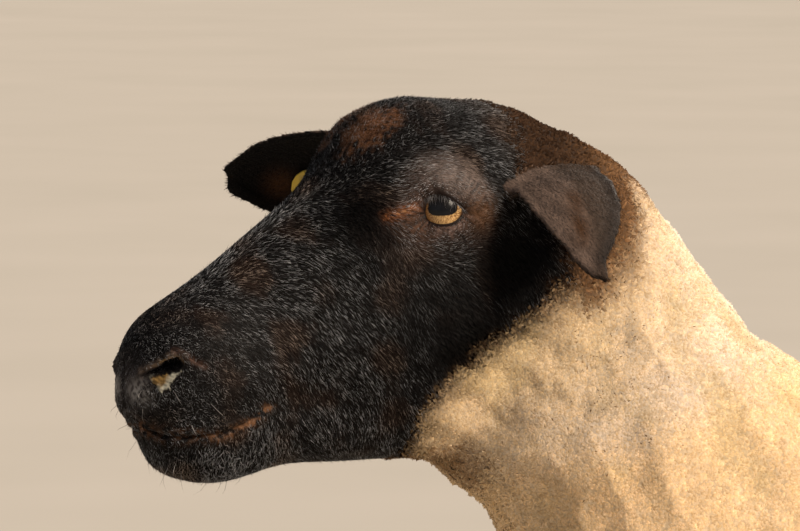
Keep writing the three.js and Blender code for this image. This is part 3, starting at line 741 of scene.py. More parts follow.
# %% Nose and lips
def muzzle(colour, here, fine, mottle):
    """Rust along the lips, a dark grey nose, and the nostril with its rim, crust and scab."""
    lips, lip_along = from_line(here, MOUTH)
    lip_line = np.interp(here[:, 0], [141, 169, 198], [-60, -62.5, -52])
    below = ramp(here[:, 2] - lip_line, 0.5, -0.5)
    rust = hump(lips, 2.2 + 4.2 * ramp(here[:, 0], 172, 192) * (1 - below) + 2.0 * below)
    rust *= ramp(ripple(here, 3.4, 43) + 0.7 * ripple(here, 9, 44), -0.7, 0.9)
    rust *= np.interp(lip_along, [0, 0.15, 0.3, 0.5, 0.6, 1], [0.5, 0.75, 0.35, 0.35, 0.9, 1.0])
    slit, _ = from_line(here, NOSTRIL)
    brim = hump(slit - 3.6, 0.9) * ramp(here[:, 2], -17, -14) * ramp(here[:, 0], 192, 184)
    dry = ramp(away_from(here, (190, 24.5, -19)) + 0.8 * ripple(here, 2.5, 73), 4.2, 7.0)
    crust = blend((0.15, 0.090, 0.030), (0.27, 0.26, 0.21), dry) * (1 + 0.3 * ripple(here, 2.2, 75))[:, None]
    scab = hump(away_from(here, (199, 12.5, -26), (1, 1.2, 0.9)), 6.2)
    crease, _ = from_line(here, ALAR_CREASE)
    return painted(
        colour,
        ((0.17, 0.082, 0.040), rust),
        ((0.052, 0.043, 0.043), hump(away_from(here, (199, 9, -22)), 12) * 0.8),
        ((0.085, 0.060, 0.045), ramp(slit, 8, 5) * ramp(here[:, 2], -17, -12) * (0.6 + 0.4 * fine)),
        ((0.30, 0.20, 0.11), brim * (0.55 + 0.35 * mottle)),
        (crust, crust_flakes(here) * 0.94),
        ((0.30, 0.28, 0.26), scab * ramp(ripple(here, 2.6, 42), -0.5, 0.3)),
        ((0.085, 0.046, 0.034), hump(crease, 1.7) * 0.7),
    )


# %% Ears
LEFT_EAR_SPOT = [(-62, 87, -13), (-54, 99, -22), (-46, 109, -33)]
LEFT_EAR_REAR = [(-94, 63, -19), (-85, 84, -29), (-69, 102, -39), (-50, 117, -49)]


def ear_velvet(places, faces_to, fine):
    """Brown velvet with a rusty spot and a dark rear rim; inside the ears a painted shade of near black, with
    a painted glow on the far ear.
    """
    left_spot = hump(from_line(places, LEFT_EAR_SPOT)[0], 5.5)
    right_spot = hump(away_from(places, (-6, -104, -6)), 26)
    behind_spot = (places - (-60, 94, -20)) @ (-0.80, -0.05, -0.60)
    rear_rim, _ = from_line(places, LEFT_EAR_REAR)
    ear_back = np.where(places[:, 1:2] > 0, (-0.2, 0.68, 0.70), (-0.65, -0.65, 0.39))
    # A painted glow of light through the far ear, laid in the painted shade of its inner side.
    painted_glow = 0.7 * hump(away_from(folded(places), (6, 133, 7)), 9)
    painted_inner_shade = blend((0.0020, 0.0013, 0.0010), (0.07, 0.028, 0.010), painted_glow)
    return painted(
        np.array((0.082, 0.056, 0.044)) * (1 + 0.25 * ripple(places * (2.2, 1, 1), 16, 34))[:, None],
        ((0.038, 0.025, 0.018), ramp(behind_spot, -1, 6) * (places[:, 1] > 0)),
        ((0.040, 0.017, 0.006), np.maximum(left_spot, right_spot) * (0.8 + 0.2 * fine)),
        ((0.014, 0.011, 0.010), hump(rear_rim, 6) * 0.9),
        (painted_inner_shade, ramp((faces_to * ear_back).sum(1), 0.15, -0.25)),
    )


# %% Wool, from brown to cream
def fleece_colours(points, places, behind, low, fine, blotch):
    """Brown wool on the poll that turns to cream down the neck, with painted shade in the rolls and near the
    face, and a painted highlight on the nape.
    """
    past = behind_line(places, BROWN_EDGE) + 4 * blotch + 3 * fine
    past -= 24 * ramp(np.abs(places[:, 1]), 48, 14) * ramp(places[:, 2], -110, -60)
    pale = np.maximum(ramp(past, -15, 13), ramp(behind, -2, 30) * low * ramp(places[:, 0], -58, -44))
    pale = np.maximum(pale, ramp(behind, -2, 26) * ramp(places[:, 2], -84, -90))
    # A painted highlight of the rim light on top of the neck behind the poll.
    painted_nape_highlight = ramp(np.abs(places[:, 1]), 44, 20) * ramp(behind, 50, 100)
    painted_nape_highlight *= ramp(points[:, 1], -0.12, -0.22) * ramp(points[:, 2], 0.64, 0.72)
    cream = painted(
        blend((0.60, 0.495, 0.39), (0.63, 0.53, 0.44), ramp(blotch, -0.8, 0.8)),
        ((0.50, 0.36, 0.21), ramp(fine, 0.1, 1.1) * 0.5),
        # painted shade on the wool near the face
        ((0.49, 0.37, 0.22), ramp(behind, 110, 15) * 0.7),
        ((0.70, 0.49, 0.26), ramp(places[:, 2], -145, -185) * 0.6),
        ((0.74, 0.68, 0.62), painted_nape_highlight * 0.7),
        # painted shade in the hollows of the neck's rolls
        ((0.42, 0.335, 0.19), ramp(neck_rolls(points) + 0.3 * blotch, -0.2, -1.1) * 0.5),
    )
    return blend(blend((0.026, 0.0150, 0.0098), (0.125, 0.070, 0.037), ramp(past, -55, 8)), cream, pale)


# %% Colours by place
def coat_colours(points, facing):
    """The colour of skin and coat alike, from each point's place and the way it faces, which sets the painted
    shade inside the ears.
    """
    places = in_head(points)
    here = folded(places)
    _, behind, ear, leg = coat_facts(points)
    blotch, fine, mottle = ripple(places, 30, 31), ripple(places, 7, 32), ripple(places, 4.5, 33)
    low = ramp(places[:, 2], -60, -74)
    black = black_and_shaded_places(here)
    russet = ramp(russet_places(here) + 0.4 * fine, 0.0, 0.9) * ramp(here[:, 0], 175, 150)
    frizz = hump(away_from(here, (12, 17, 54), (27, 17, 22)), 0.95)
    poll = ramp(places[:, 0], -40, -66) * ramp(places[:, 2], -20, 12)
    throat = hump(away_from(here, (44, 0, -150), (52, 34, 34)), 1.0)
    # Black hair, darker still in front of the eye, under the ear and at the jaw: partly blacker hair and
    # partly painted shade.
    colour = np.array((0.0036, 0.0030, 0.0029)) * (1 - 0.7 * black)[:, None]
    colour = blend(colour, (0.011, 0.0058, 0.0040), 0.8 * russet * (1 - black))
    colour = painted(
        eye_surround(colour, here, fine),
        ((0.095, 0.042, 0.020), ramp(frizz * (1 + 0.35 * fine + 0.45 * mottle), 0.3, 0.85)),
        ((0.040, 0.028, 0.022), poll * 0.5),
    )
    colour = painted(
        muzzle(colour, here, fine, mottle),
        (ear_velvet(places, facing @ head_axes.T, fine), ear),
        (fleece_colours(points, places, behind, low, fine, blotch),
         ramp(behind, -2, 12 - 6 * low) * (1 - ear) * (1 - leg)),
        ((0.16, 0.092, 0.050), ramp(throat * (1 + 0.35 * fine), 0.25, 0.85) * 0.8),
    )
    return np.clip(colour, 0.0008, 0.95)


def bare_skin(points):
    """1 on lid edges, in the nostril, on its crust and on the nose pad, where no hair grows."""
    here = folded(in_head(points))
    eye = eye_places(here)
    lid_edge = ramp(lid_distance(eye), 1.3, 0.7) * close_to_ball(eye)
    nostril = ramp(from_line(here, NOSTRIL)[0], 4.6, 3.4) * ramp(here[:, 0], 165, 175)
    nose_pad = ramp(hump(away_from(here, (199, 9, -22)), 9), 0.5, 0.8)
    return np.maximum.reduce([lid_edge, nostril, crust_flakes(here), nose_pad])


def set_point_values(mesh, name, kind, values):
    made = mesh.attributes.new(name, kind, "POINT")
    key = {"FLOAT": "value", "FLOAT_COLOR": "color", "FLOAT_VECTOR": "vector"}[kind]
    made.data.foreach_set(key, np.asarray(values, np.float32).ravel())


points = points_of(skin.data)
wool = coat_facts(points)[0]
eye = eye_places(folded(in_head(points)))
# The skin under the wool is painted 15 percent darker, a painted shade deep in the fleece.
skin_colour = painted(
    coat_colours(points, normals_of(skin.data)) * (1 - 0.15 * wool)[:, None],
    ((0.010, 0.006, 0.005), ramp(lid_distance(eye), 1.6, 0.8) * close_to_ball(eye)),
    ((0.012, 0.006, 0.005), hump(away_from(eye, (13.6, 0.5, 5.0)), 3.0)),
)
set_point_values(skin.data, "coat", "FLOAT_COLOR", np.c_[skin_colour, np.ones(len(points))])
set_point_values(skin.data, "wool", "FLOAT", wool)
set_point_values(skin.data, "bare", "FLOAT", bare_skin(points))
print("marked", len(points), "skin points,", int((wool > 0.5).sum()), "of them under wool")

# %% [markdown]
# ## The skin's finish
# Under the hair the skin shows only as depth between the tufts, so its bump carries the fine lie of the hair
# on the face, stretched along the head, and round nubs under the wool. Bare skin is smoother and has pores.

# %% Helpers for finishes
def named_value(tree, name, output="Fac"):
    return node(tree, "ShaderNodeAttribute", attribute_name=name).outputs[output]


def maths(tree, kind, *values):
    made = node(tree, "ShaderNodeMath", operation=kind)
    feed(tree, made, dict(enumerate(values)))
    return made.outputs[0]


def mixed(tree, share, first, second, kind="FLOAT"):
    made = node(tree, "ShaderNodeMix", data_type=kind)
    inputs, output = {"FLOAT": ((0, 2, 3), 0), "RGBA": ((0, 6, 7), 2)}[kind]
    feed(tree, made, dict(zip(inputs, (share, first, second))))
    return made.outputs[output]


def bumped(tree, shader, height, strength, distance):
    bump = node(tree, "ShaderNodeBump", Strength=strength, Distance=distance, Height=height)
    feed(tree, shader, {"Normal": bump.outputs["Normal"]})


def coat_tint(tree, relief, low, high):
    """The coat colour kept on the points, times `low` in the hollows of a relief and `high` on its ridges;
    where the relief also drives a bump, this is painted shade and light.
    """
    shade = node(tree, "ShaderNodeMapRange", Value=relief)
    feed(tree, shade, {"To Min": low, "To Max": high})
    tinted = node(tree, "ShaderNodeVectorMath", operation="SCALE")
    feed(tree, tinted, {0: named_value(tree, "coat", "Color"), "Scale": shade.outputs["Result"]})
    return tinted.outputs["Vector"]


# %% Skin material
FALL = math.radians(50)
HAIR_LINE = -math.cos(FALL) * to_nose - math.sin(FALL) * to_brow
HAIR_TURN = Matrix([HAIR_LINE, to_left, np.cross(HAIR_LINE, to_left)]).to_euler()


def head_streaks(tree, scale, stretch):
    """Noise drawn out along the fall of the cheek's hair."""
    turned = texture(tree, "ShaderNodeMapping", Rotation=HAIR_TURN)
    drawn = node(tree, "ShaderNodeMapping", Scale=(1 / stretch, 1, 1), Vector=turned.outputs["Vector"])
    noise = node(tree, "ShaderNodeTexNoise", Scale=scale, Detail=3, Vector=drawn.outputs["Vector"])
    return noise.outputs["Fac"]


skin_finish, tree, shader = plain_material("skin")
under_wool, bare = named_value(tree, "wool"), named_value(tree, "bare")
nubs = texture(tree, "ShaderNodeTexNoise", Scale=330, Detail=4).outputs["Fac"]
pores = texture(tree, "ShaderNodeTexVoronoi", Scale=1100).outputs["Distance"]
relief = mixed(tree, under_wool, head_streaks(tree, 900, 7), nubs)
relief = mixed(tree, bare, relief, maths(tree, "MULTIPLY_ADD", pores, 0.14, 0.4))
rough = mixed(tree, under_wool, 0.55, 0.95)
bumped(tree, shader, relief, 0.9, 0.0008)
# The skin's colour follows its bump relief: painted shade in the hollows and painted light on the ridges.
feed(tree, shader, {
    "Base Color": coat_tint(tree, relief, 0.45, 1.5),
    "Roughness": mixed(tree, bare, rough, 0.42),
    "Specular IOR Level": 0.07,
})
skin.data.materials.append(skin_finish)
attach(skin, "root")
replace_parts(skin, *flesh)
print("skin stands for", len(flesh), "nodes")

# %% [markdown]
# ## Eyes
# A sheep's eye is nearly all iris: amber, with a dark rim and a wide level pupil. A turned ball gets a
# slight bulge for the cornea, and a wet clear coat for its shine. Each point carries its place across the
# gaze, so the iris is drawn by the shader.

# %% Helpers for patterns
def stepped(tree, value, start, end, kind="SMOOTHSTEP"):
    """0 below the start and 1 above the end, with a soft step between them."""
    made = node(tree, "ShaderNodeMapRange", interpolation_type=kind)
    feed(tree, made, {"Value": value, "From Min": start, "From Max": end})
    return made.outputs["Result"]


def mixed_colour(tree, share, first, second):
    first, second = ((*part, 1) if isinstance(part, tuple) else part for part in (first, second))
    return mixed(tree, share, first, second, "RGBA")


# %% The iris and its shine
IRIS = 11.7
PUPIL_LONG, PUPIL_HIGH, PUPIL_POWER = 8.1, 4.2, 3.2
eye_finish, tree, shader = plain_material("eye")
gaze = named_value(tree, "gaze", "Vector")
split = node(tree, "ShaderNodeSeparateXYZ", Vector=gaze)
across, upward = split.outputs["X"], split.outputs["Y"]
from_middle = maths(tree, "SQRT", maths(tree, "ADD", maths(tree, "POWER", across, 2.0),
                                        maths(tree, "POWER", upward, 2.0)))
rays = node(tree, "ShaderNodeCombineXYZ",
            X=maths(tree, "MULTIPLY", maths(tree, "ARCTAN2", upward, across), 9.0),
            Y=maths(tree, "MULTIPLY", from_middle, 0.25))
streak = node(tree, "ShaderNodeTexNoise", Scale=2.2, Detail=4, Vector=rays.outputs["Vector"])
speck = node(tree, "ShaderNodeTexNoise", Scale=1.1, Detail=3, Vector=gaze)
amber = mixed_colour(tree, stepped(tree, streak.outputs["Fac"], 0.36, 0.62),
                     (0.16, 0.070, 0.018), (0.58, 0.37, 0.16))
amber = mixed_colour(tree, stepped(tree, across, 3.0, 12.0, "LINEAR"), amber, (0.20, 0.070, 0.018))
iris = mixed_colour(tree, stepped(tree, from_middle, IRIS - 2.0, IRIS - 0.2), amber, (0.035, 0.014, 0.006))
ball = mixed_colour(tree, stepped(tree, from_middle, IRIS - 0.3, IRIS + 0.5), iris, (0.014, 0.008, 0.007))
wide, tall = (
    maths(tree, "POWER", maths(tree, "ABSOLUTE", maths(tree, "DIVIDE", value, half)), PUPIL_POWER)
    for value, half in ((across, PUPIL_LONG), (upward, PUPIL_HIGH))
)
wavy = maths(tree, "MULTIPLY", maths(tree, "SUBTRACT", speck.outputs["Fac"], 0.5), 0.7)
pupil = stepped(tree, maths(tree, "ADD", maths(tree, "ADD", wide, tall), wavy), 0.85, 1.1)
ball = mixed_colour(tree, pupil, (0.003, 0.003, 0.004), ball)
# Painted shade of the upper lid and lashes over the top of the ball.
ball = mixed_colour(tree, stepped(tree, upward, -0.5, 4.5), ball, (0.006, 0.005, 0.005))
feed(tree, shader, {"Base Color": ball, "Roughness": 0.5, "Specular IOR Level": 0.05, "Coat Weight": 0.5,
                    "Coat Roughness": 0.22, "Coat IOR": 1.38})


# %% Eyeballs
BULGE, BULGE_WIDE = 0.075, 9.5
PUPIL_RAISED = 3.1


def eyeball(name, sign):
    middle = np.array((0, EYE_OUT * sign, 0))
    mirror = np.array((1, sign, 1))
    shape = bmesh.new()
    bmesh.ops.create_uvsphere(shape, u_segments=72, v_segments=56, radius=EYE_RADIUS)
    gaze = []
    for corner in shape.verts:
        x, y, out = corner.co
        swollen = 1.0 + BULGE * float(hump(math.hypot(x, y), BULGE_WIDE)) * (out > 0)
        place = (x * EYE_LONG + y * EYE_HIGH + out * GAZE) * swollen * mirror + middle
        corner.co = Vector(from_head(place))
        gaze.append((x, y - PUPIL_RAISED, out))
    bmesh.ops.recalc_face_normals(shape, faces=shape.faces)
    mesh = mesh_from(shape, name)
    set_point_values(mesh, "gaze", "FLOAT_VECTOR", gaze)
    mesh.materials.append(eye_finish)
    ball = new_object(name, mesh)
    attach(ball, "root")
    return ball


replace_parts(eyeball("eyeball_left", 1), "eye_left")
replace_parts(eyeball("eyeball_right", -1), "eye_right")
print("two eyeballs of", EYE_RADIUS, "mm radius")

# %% [markdown]
# ## Hooves and dewclaws
# Each toe ends in a horn shoe with growth rings. The solids already have the right shape, so each one is
# cast again by a fine remesh, which rounds its edges, and gets a horn finish of level rings.

# %% Horn
horn, tree, shader = plain_material("horn")
rings = texture(tree, "ShaderNodeTexWave", wave_type="BANDS", bands_direction="Z", Scale=55, Distortion=3.0)
feed(tree, rings, {"Detail Scale": 12})
grime = texture(tree, "ShaderNodeTexNoise", Scale=90, Detail=5).outputs["Fac"]
dark_horn = mixed_colour(tree, rings.outputs["Fac"], (0.012, 0.010, 0.010), (0.045, 0.036, 0.030))
worn = mixed_colour(tree, stepped(tree, grime, 0.5, 0.75), dark_horn, (0.12, 0.095, 0.07))
bumped(tree, shader, rings.outputs["Fac"], 0.6, 0.0006)
feed(tree, shader, {"Base Color": worn, "Roughness": mixed(tree, grime, 0.38, 0.62)})


def rounded_copy(name, new_name, voxel, kept, finish):
    cast = with_modifiers(
        joined([name], 0.0),
        ("REMESH", {"mode": "VOXEL", "voxel_size": voxel * MM, "use_smooth_shade": True}),
        ("SMOOTH", {"factor": 0.5, "iterations": 4}),
        ("DECIMATE", {"ratio": kept}),
    )
    cast.materials.clear()
    cast.materials.append(finish)
    piece = new_object(new_name, cast)
    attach(piece, "root")
    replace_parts(piece, name)
    return piece


claws = [name for name in sorted(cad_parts) if "claw" in name]
faces = 0
for name in claws:
    piece = rounded_copy(name, name + "_horn", 1.1, 0.3, horn)
    faces += len(piece.data.polygons)
print(len(claws), "horn pieces,", faces, "faces")

# %% [markdown]
# ## Ear tag
# The tag is a pair of moulded yellow discs, one on each side of the far ear. Like the hooves, each is cast
# again from its solid by a fine remesh, and gets a dull yellow plastic with some dirt on it.

# %% Tag
tag_plastic, tree, shader = plain_material("tag plastic")
dirt = texture(tree, "ShaderNodeTexNoise", Scale=160, Detail=5).outputs["Fac"]
yellow = mixed_colour(tree, stepped(tree, dirt, 0.45, 0.75), (0.62, 0.42, 0.03), (0.32, 0.21, 0.04))
feed(tree, shader, {"Base Color": yellow, "Roughness": 0.42})
for name in ("ear_tag_front", "ear_tag_back"):
    rounded_copy(name, name + "_disc", 0.45, 0.25, tag_plastic)
print("tag moulded")


# %% [markdown]
# ## Growing the coat
# A tuft is a closed spike: a three-sided root, sometimes a bent middle, and a tip. Roots are scattered over
# the skin by area and density, each takes the skin's facing, colour and place on the hide map, and leans
# along the lie of the coat. Joined by the thousand from arrays, they make meshes of under 200,000 triangles.

# %% Scatter roots
skin_mesh = skin.data
skin_points = points_of(skin_mesh)
skin_facing = normals_of(skin_mesh)
corners = np.empty(len(skin_mesh.polygons) * 3, np.int64)
skin_mesh.polygons.foreach_get("vertices", corners)
corners = corners.reshape(-1, 3)
hide_map = np.empty(len(skin_mesh.loops) * 2)
skin_mesh.uv_layers["OFBake"].data.foreach_get("uv", hide_map)
hide_map = hide_map.reshape(-1, 3, 2)
edges = skin_points[corners[:, 1:]] - skin_points[corners[:, :1]]
area = lengths(np.cross(edges[:, 0], edges[:, 1])) / 2 / MM**2
centres = skin_points[corners].mean(1)
print("skin area", round(area.sum() / 1e6, 2), "square metres")


def scatter(density, seed):
    """Roots, facing and hide map places for tufts at so many per square millimetre of each face."""
    chance = np.random.default_rng(seed)
    share = np.cumsum(area * density * (1.0))
    count = int(share[-1])
    ticks = (np.arange(count) + chance.random(count)) * share[-1] / count
    face = np.minimum(np.searchsorted(share, ticks), len(area) - 1)
    first, second = np.sqrt(chance.random(count)), chance.random(count)
    weights = np.stack([1 - first, first * (1 - second), first * second], 1)
    root = (skin_points[corners[face]] * weights[:, :, None]).sum(1)
    facing = (skin_facing[corners[face]] * weights[:, :, None]).sum(1)
    facing /= lengths(facing)[:, None]
    spot = (hide_map[face] * weights[:, :, None]).sum(1)
    return root, facing, spot, chance


# %% The lie of the coat
LIE_BY_HEIGHT = [-110, -60, -25, 0, 20, 40, 60], [82, 78, 70, 58, 45, 33, 18]
EYE_BLOCKS = 15.0


def hair_flow(points):
    """The way hair lies: back along the nose, down the cheek, round the eye, and down the neck and legs."""
    places = in_head(points)
    here, side = one_side(places)
    steepness = np.interp(here[:, 2], *LIE_BY_HEIGHT)
    fall = np.radians(steepness + 12 * ripple(places, 60, 51) + 7 * ripple(places, 22, 52))
    flow = np.stack([-np.cos(fall), 0.12 * ramp(here[:, 2], 10, 40), -np.sin(fall)], 1)
    chin = ramp(here[:, 0], 120, 160) * ramp(here[:, 2], -50, -64)
    lip = ramp(here[:, 0], 160, 195) * ramp(here[:, 2], -20, -34) * (1 - chin)
    eye = eye_places(here)
    x, y = eye[:, 0], eye[:, 1]
    gap = np.maximum(np.hypot(x, y), 9.0)
    bend_x = -(1 - EYE_BLOCKS**2 * (x * x - y * y) / gap**4)
    bend_y = 2 * EYE_BLOCKS**2 * x * y / gap**4
    around = bend_x[:, None] * EYE_LONG + bend_y[:, None] * EYE_HIGH
    flow = painted(
        flow,
        ((0.15, 0.0, -1.0), hump(away_from(here, (34, 50, -10)), 22)),
        ((0.35, 0.0, -1.0), chin),
        ((-0.45, 0.35, -0.75), lip),
        (around, ramp(lengths(eye), 44, 22)),
    )
    flow[:, 1] *= side
    return blend(flow @ head_axes, (0.0, 0.45, -0.9), ramp(places[:, 0], -60, -110))


def unit(vectors):
    return vectors / np.maximum(lengths(vectors), 1e-9)[:, None]


def along_skin(way, facing):
    return way - (way * facing).sum(1)[:, None] * facing


def laid(flow, facing, chance, wander):
    """Directions laid on the skin, with some wandering."""
    return unit(along_skin(flow + chance.normal(size=flow.shape) * np.asarray(wander).reshape(-1, 1), facing))


# %% Locks that lean together
CELL_PRIMES = 73856093, 19349663, 83492791
CHANCE_STEP = 1103515245, 12345
CHANCE_TOP = 0x7FFFFFFF


def cell_chance(cells, seed):
    """Four chance values from 0 to 1 for each whole-numbered cell, always the same for the same cell."""
    mix = (cells * CELL_PRIMES).sum(1) + seed * 1013
    found = []
    for _ in range(4):
        mix = (mix * CHANCE_STEP[0] + CHANCE_STEP[1]) & CHANCE_TOP
        mix ^= mix >> 13
        found.append(mix / CHANCE_TOP)
    return np.stack(found, 1)


def lock_of(root, size, seed):
    """The way from each root to the middle of its lock, and chance values that the whole lock shares."""
    places = root / MM / size
    cell = np.floor(places).astype(np.int64)
    best = np.full(len(root), 1e9)
    way, shared = np.zeros_like(root), np.zeros((len(root), 4))
    for step in np.ndindex(3, 3, 3):
        near = cell + np.array(step) - 1
        values = cell_chance(near, seed)
        gap = near + values[:, :3] - places
        length = (gap * gap).sum(1)
        nearer = length < best
        best[nearer] = length[nearer]
        way[nearer] = gap[nearer]
        shared[nearer] = values[nearer]
    return way * size * MM, shared


# %% Build tufts from arrays
PATCH = 0.0015
PIECE_FACES = 198000
LEAST_TURN = 0.3
MIDDLE_WIDTH, MIDDLE_TONE = 0.8, 0.95
SPIKE_FACES = np.array([(0, 2, 1), (0, 1, 3), (1, 2, 3), (2, 0, 3)])
BENT_FACES = np.array([(0, 2, 1), (0, 1, 4), (0, 4, 3), (1, 2, 5), (1, 5, 4), (2, 0, 3), (2, 3, 5),
                       (3, 4, 6), (4, 5, 6), (5, 3, 6)])


def mesh_of(name, points, faces):
    """One mesh of many tufts, each with the same faces over its own points, and the mesh's corner list."""
    corner = (np.arange(len(points))[:, None, None] * points.shape[1] + faces).reshape(-1)
    mesh = bpy.data.meshes.new(name)
    mesh.vertices.add(len(points) * points.shape[1])
    mesh.vertices.foreach_set("co", points.ravel())
    mesh.loops.add(len(corner))
    mesh.loops.foreach_set("vertex_index", corner.astype(np.int32))
    mesh.polygons.add(len(corner) // 3)
    mesh.polygons.foreach_set("loop_start", np.arange(0, len(corner), 3, dtype=np.int32))
    mesh.update(calc_edges=True)
    return mesh, corner


def soft_normals(points, faces, facing, soft):
    """A shading direction for each corner: out of the tuft, drawn towards the skin's facing by the share
    `soft`, and then held on the outer side of the corner's own face."""
    count, size, _ = points.shape
    away = unit((points - points.mean(1, keepdims=True)).reshape(-1, 3))
    away = unit(away * (1 - soft) + np.repeat(facing, size, 0) * soft).reshape(count, size, 3)[:, faces]
    first, second, third = (points[:, faces[:, k]] for k in range(3))
    side = unit(np.cross(second - first, third - first).reshape(-1, 3)).reshape(count, len(faces), 1, 3)
    away = away + side * np.maximum(LEAST_TURN - (away * side).sum(3, keepdims=True), 0)
    return unit(away.reshape(-1, 3))


def tufts(name, finish, slot_name, root, facing, reach, wide, colour, spot,
          bend=None, shades=(0.55, 1.2), soft=0.0, thick=0.6, shadow=True):
    """Closed spikes from each root along its reach, in metres; `wide` is in millimetres. With a bend, each
    has a middle pushed aside by that much. `shades` paint shade on the root and light on the tip."""
    count = len(root)
    across = unit(np.cross(facing, reach))
    above = unit(np.cross(reach, across))
    wide = (np.asarray(wide) * np.ones(count))[:, None] * MM
    rows = [(root, wide, shades[0])]
    if bend is not None:
        rows.append((root + reach * 0.5 + bend, wide * MIDDLE_WIDTH, MIDDLE_TONE))
    cells, tones, offsets = [], [], []
    for number, (centre, width, tone) in enumerate(rows):
        cells += [centre + across * width / 2, centre - across * width / 2, centre + above * width * thick]
        tones += [tone * np.ones(3)] * 3
        offsets += [(-1, number - 1), (1, number - 1), (0, number - 1)]
    points = np.stack(cells + [root + reach], 1)
    tones = np.array(tones + [shades[1] * np.ones(3)])
    offsets = np.array(offsets + [(0, 1)]) * PATCH
    faces = SPIKE_FACES if bend is None else BENT_FACES
    a, b, c = ((points[0] - points[0].mean(0))[faces[:, k]] for k in range(3))
    if (np.cross(a, b) * c).sum() < 0:
        faces = faces[:, ::-1]
    order = np.argsort(root[:, 1], kind="stable")
    groups = np.array_split(order, max(1, math.ceil(count * len(faces) / PIECE_FACES)))
    for number, chosen in enumerate(groups, 1):
        mesh, corner = mesh_of(name, points[chosen], faces)
        if soft:
            mesh.polygons.foreach_set("use_smooth", np.ones(len(mesh.polygons), bool))
            mesh.normals_split_custom_set(soft_normals(points[chosen], faces, facing[chosen], soft))
        shaded = np.clip((colour[chosen][:, None] * tones).reshape(-1, 3), 0, 1)
        set_point_values(mesh, "coat", "FLOAT_COLOR", np.c_[shaded, np.ones(len(shaded))])
        where = (spot[chosen][:, None] + offsets).reshape(-1, 2)[corner]
        mesh.uv_layers.new(name="OFBake").data.foreach_set("uv", where.astype(np.float32).ravel())
        mesh.materials.append(finish)
        piece = new_object(name if len(groups) == 1 else f"{name}_{number}", mesh)
        piece.visible_shadow = shadow
        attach(piece, "root")
    print(name, count, "tufts,", count * len(faces), "triangles in", len(groups), "pieces")


# %% Hair and wool finishes
def coat_finish(name, rough, gloss, grain, contrast, relief=0.5, sheen=0.0):
    """Hair or wool in the coat's colour with a fine grain. Gloss is its specular level."""
    material, tree, shader = plain_material(name)
    fine = texture(tree, "ShaderNodeTexNoise", Scale=grain, Detail=3).outputs["Fac"]
    # Where the grain also drives the bump, this paints shade in its hollows and light on its ridges.
    tint = coat_tint(tree, fine, 1 - contrast, 1 + contrast)
    feed(tree, shader, {"Base Color": tint, "Roughness": rough, "Specular IOR Level": gloss})
    if relief:
        bumped(tree, shader, fine, relief, 0.0004)
    if sheen:
        tint = (0.85, 0.75, 0.70, 1)
        feed(tree, shader, {"Sheen Weight": sheen, "Sheen Roughness": 0.4, "Sheen Tint": tint})
    return material


hair_finish = coat_finish("black undercoat", rough=0.55, gloss=0.01, grain=1500, contrast=0.5)
guard_finish = coat_finish("glossy hair", rough=0.26, gloss=0.02, grain=1500, contrast=0.4)
velvet_finish = coat_finish("ear velvet", rough=0.75, gloss=0.2, grain=900, contrast=0.4, sheen=0.03)
wool_finish = coat_finish("fleece wool", rough=0.90, gloss=0.0, grain=900, contrast=0.35, relief=0)

# %% Face hair
_, face_behind, face_ear, face_leg = coat_facts(centres)
face_bare = bare_skin(centres)
head_face = in_head(centres)
hairy = (face_behind < 8) & (face_leg < 0.5) & (face_ear < 0.5)
eye_near = lengths(eye_places(folded(head_face)))
density = np.where(hairy, 1.0, 0.0) * (1 - face_bare)
density *= 1 + 0.8 * ramp(eye_near, 40, 25) + 0.5 * ramp(head_face[:, 0], 130, 180)


def sheen_by_place(here):
    """How much painted sheen the glossy hairs get: least in front of the eye, under the ear and at the jaw.
    """
    eye = eye_places(here)
    eye = hump(lengths(eye), 26) * ramp(eye[:, 1], -7, 5)
    chin = ramp(here[:, 2], -62, -70) * ramp(here[:, 0], 120, 150)
    muzzle_share = ramp(here[:, 0], 120, 165) * (1 - chin)
    return np.clip(1 - 1.12 * black_and_shaded_places(here), 0, 1) * (1 - 0.35 * muzzle_share) + 0.5 * eye + 0.9 * chin


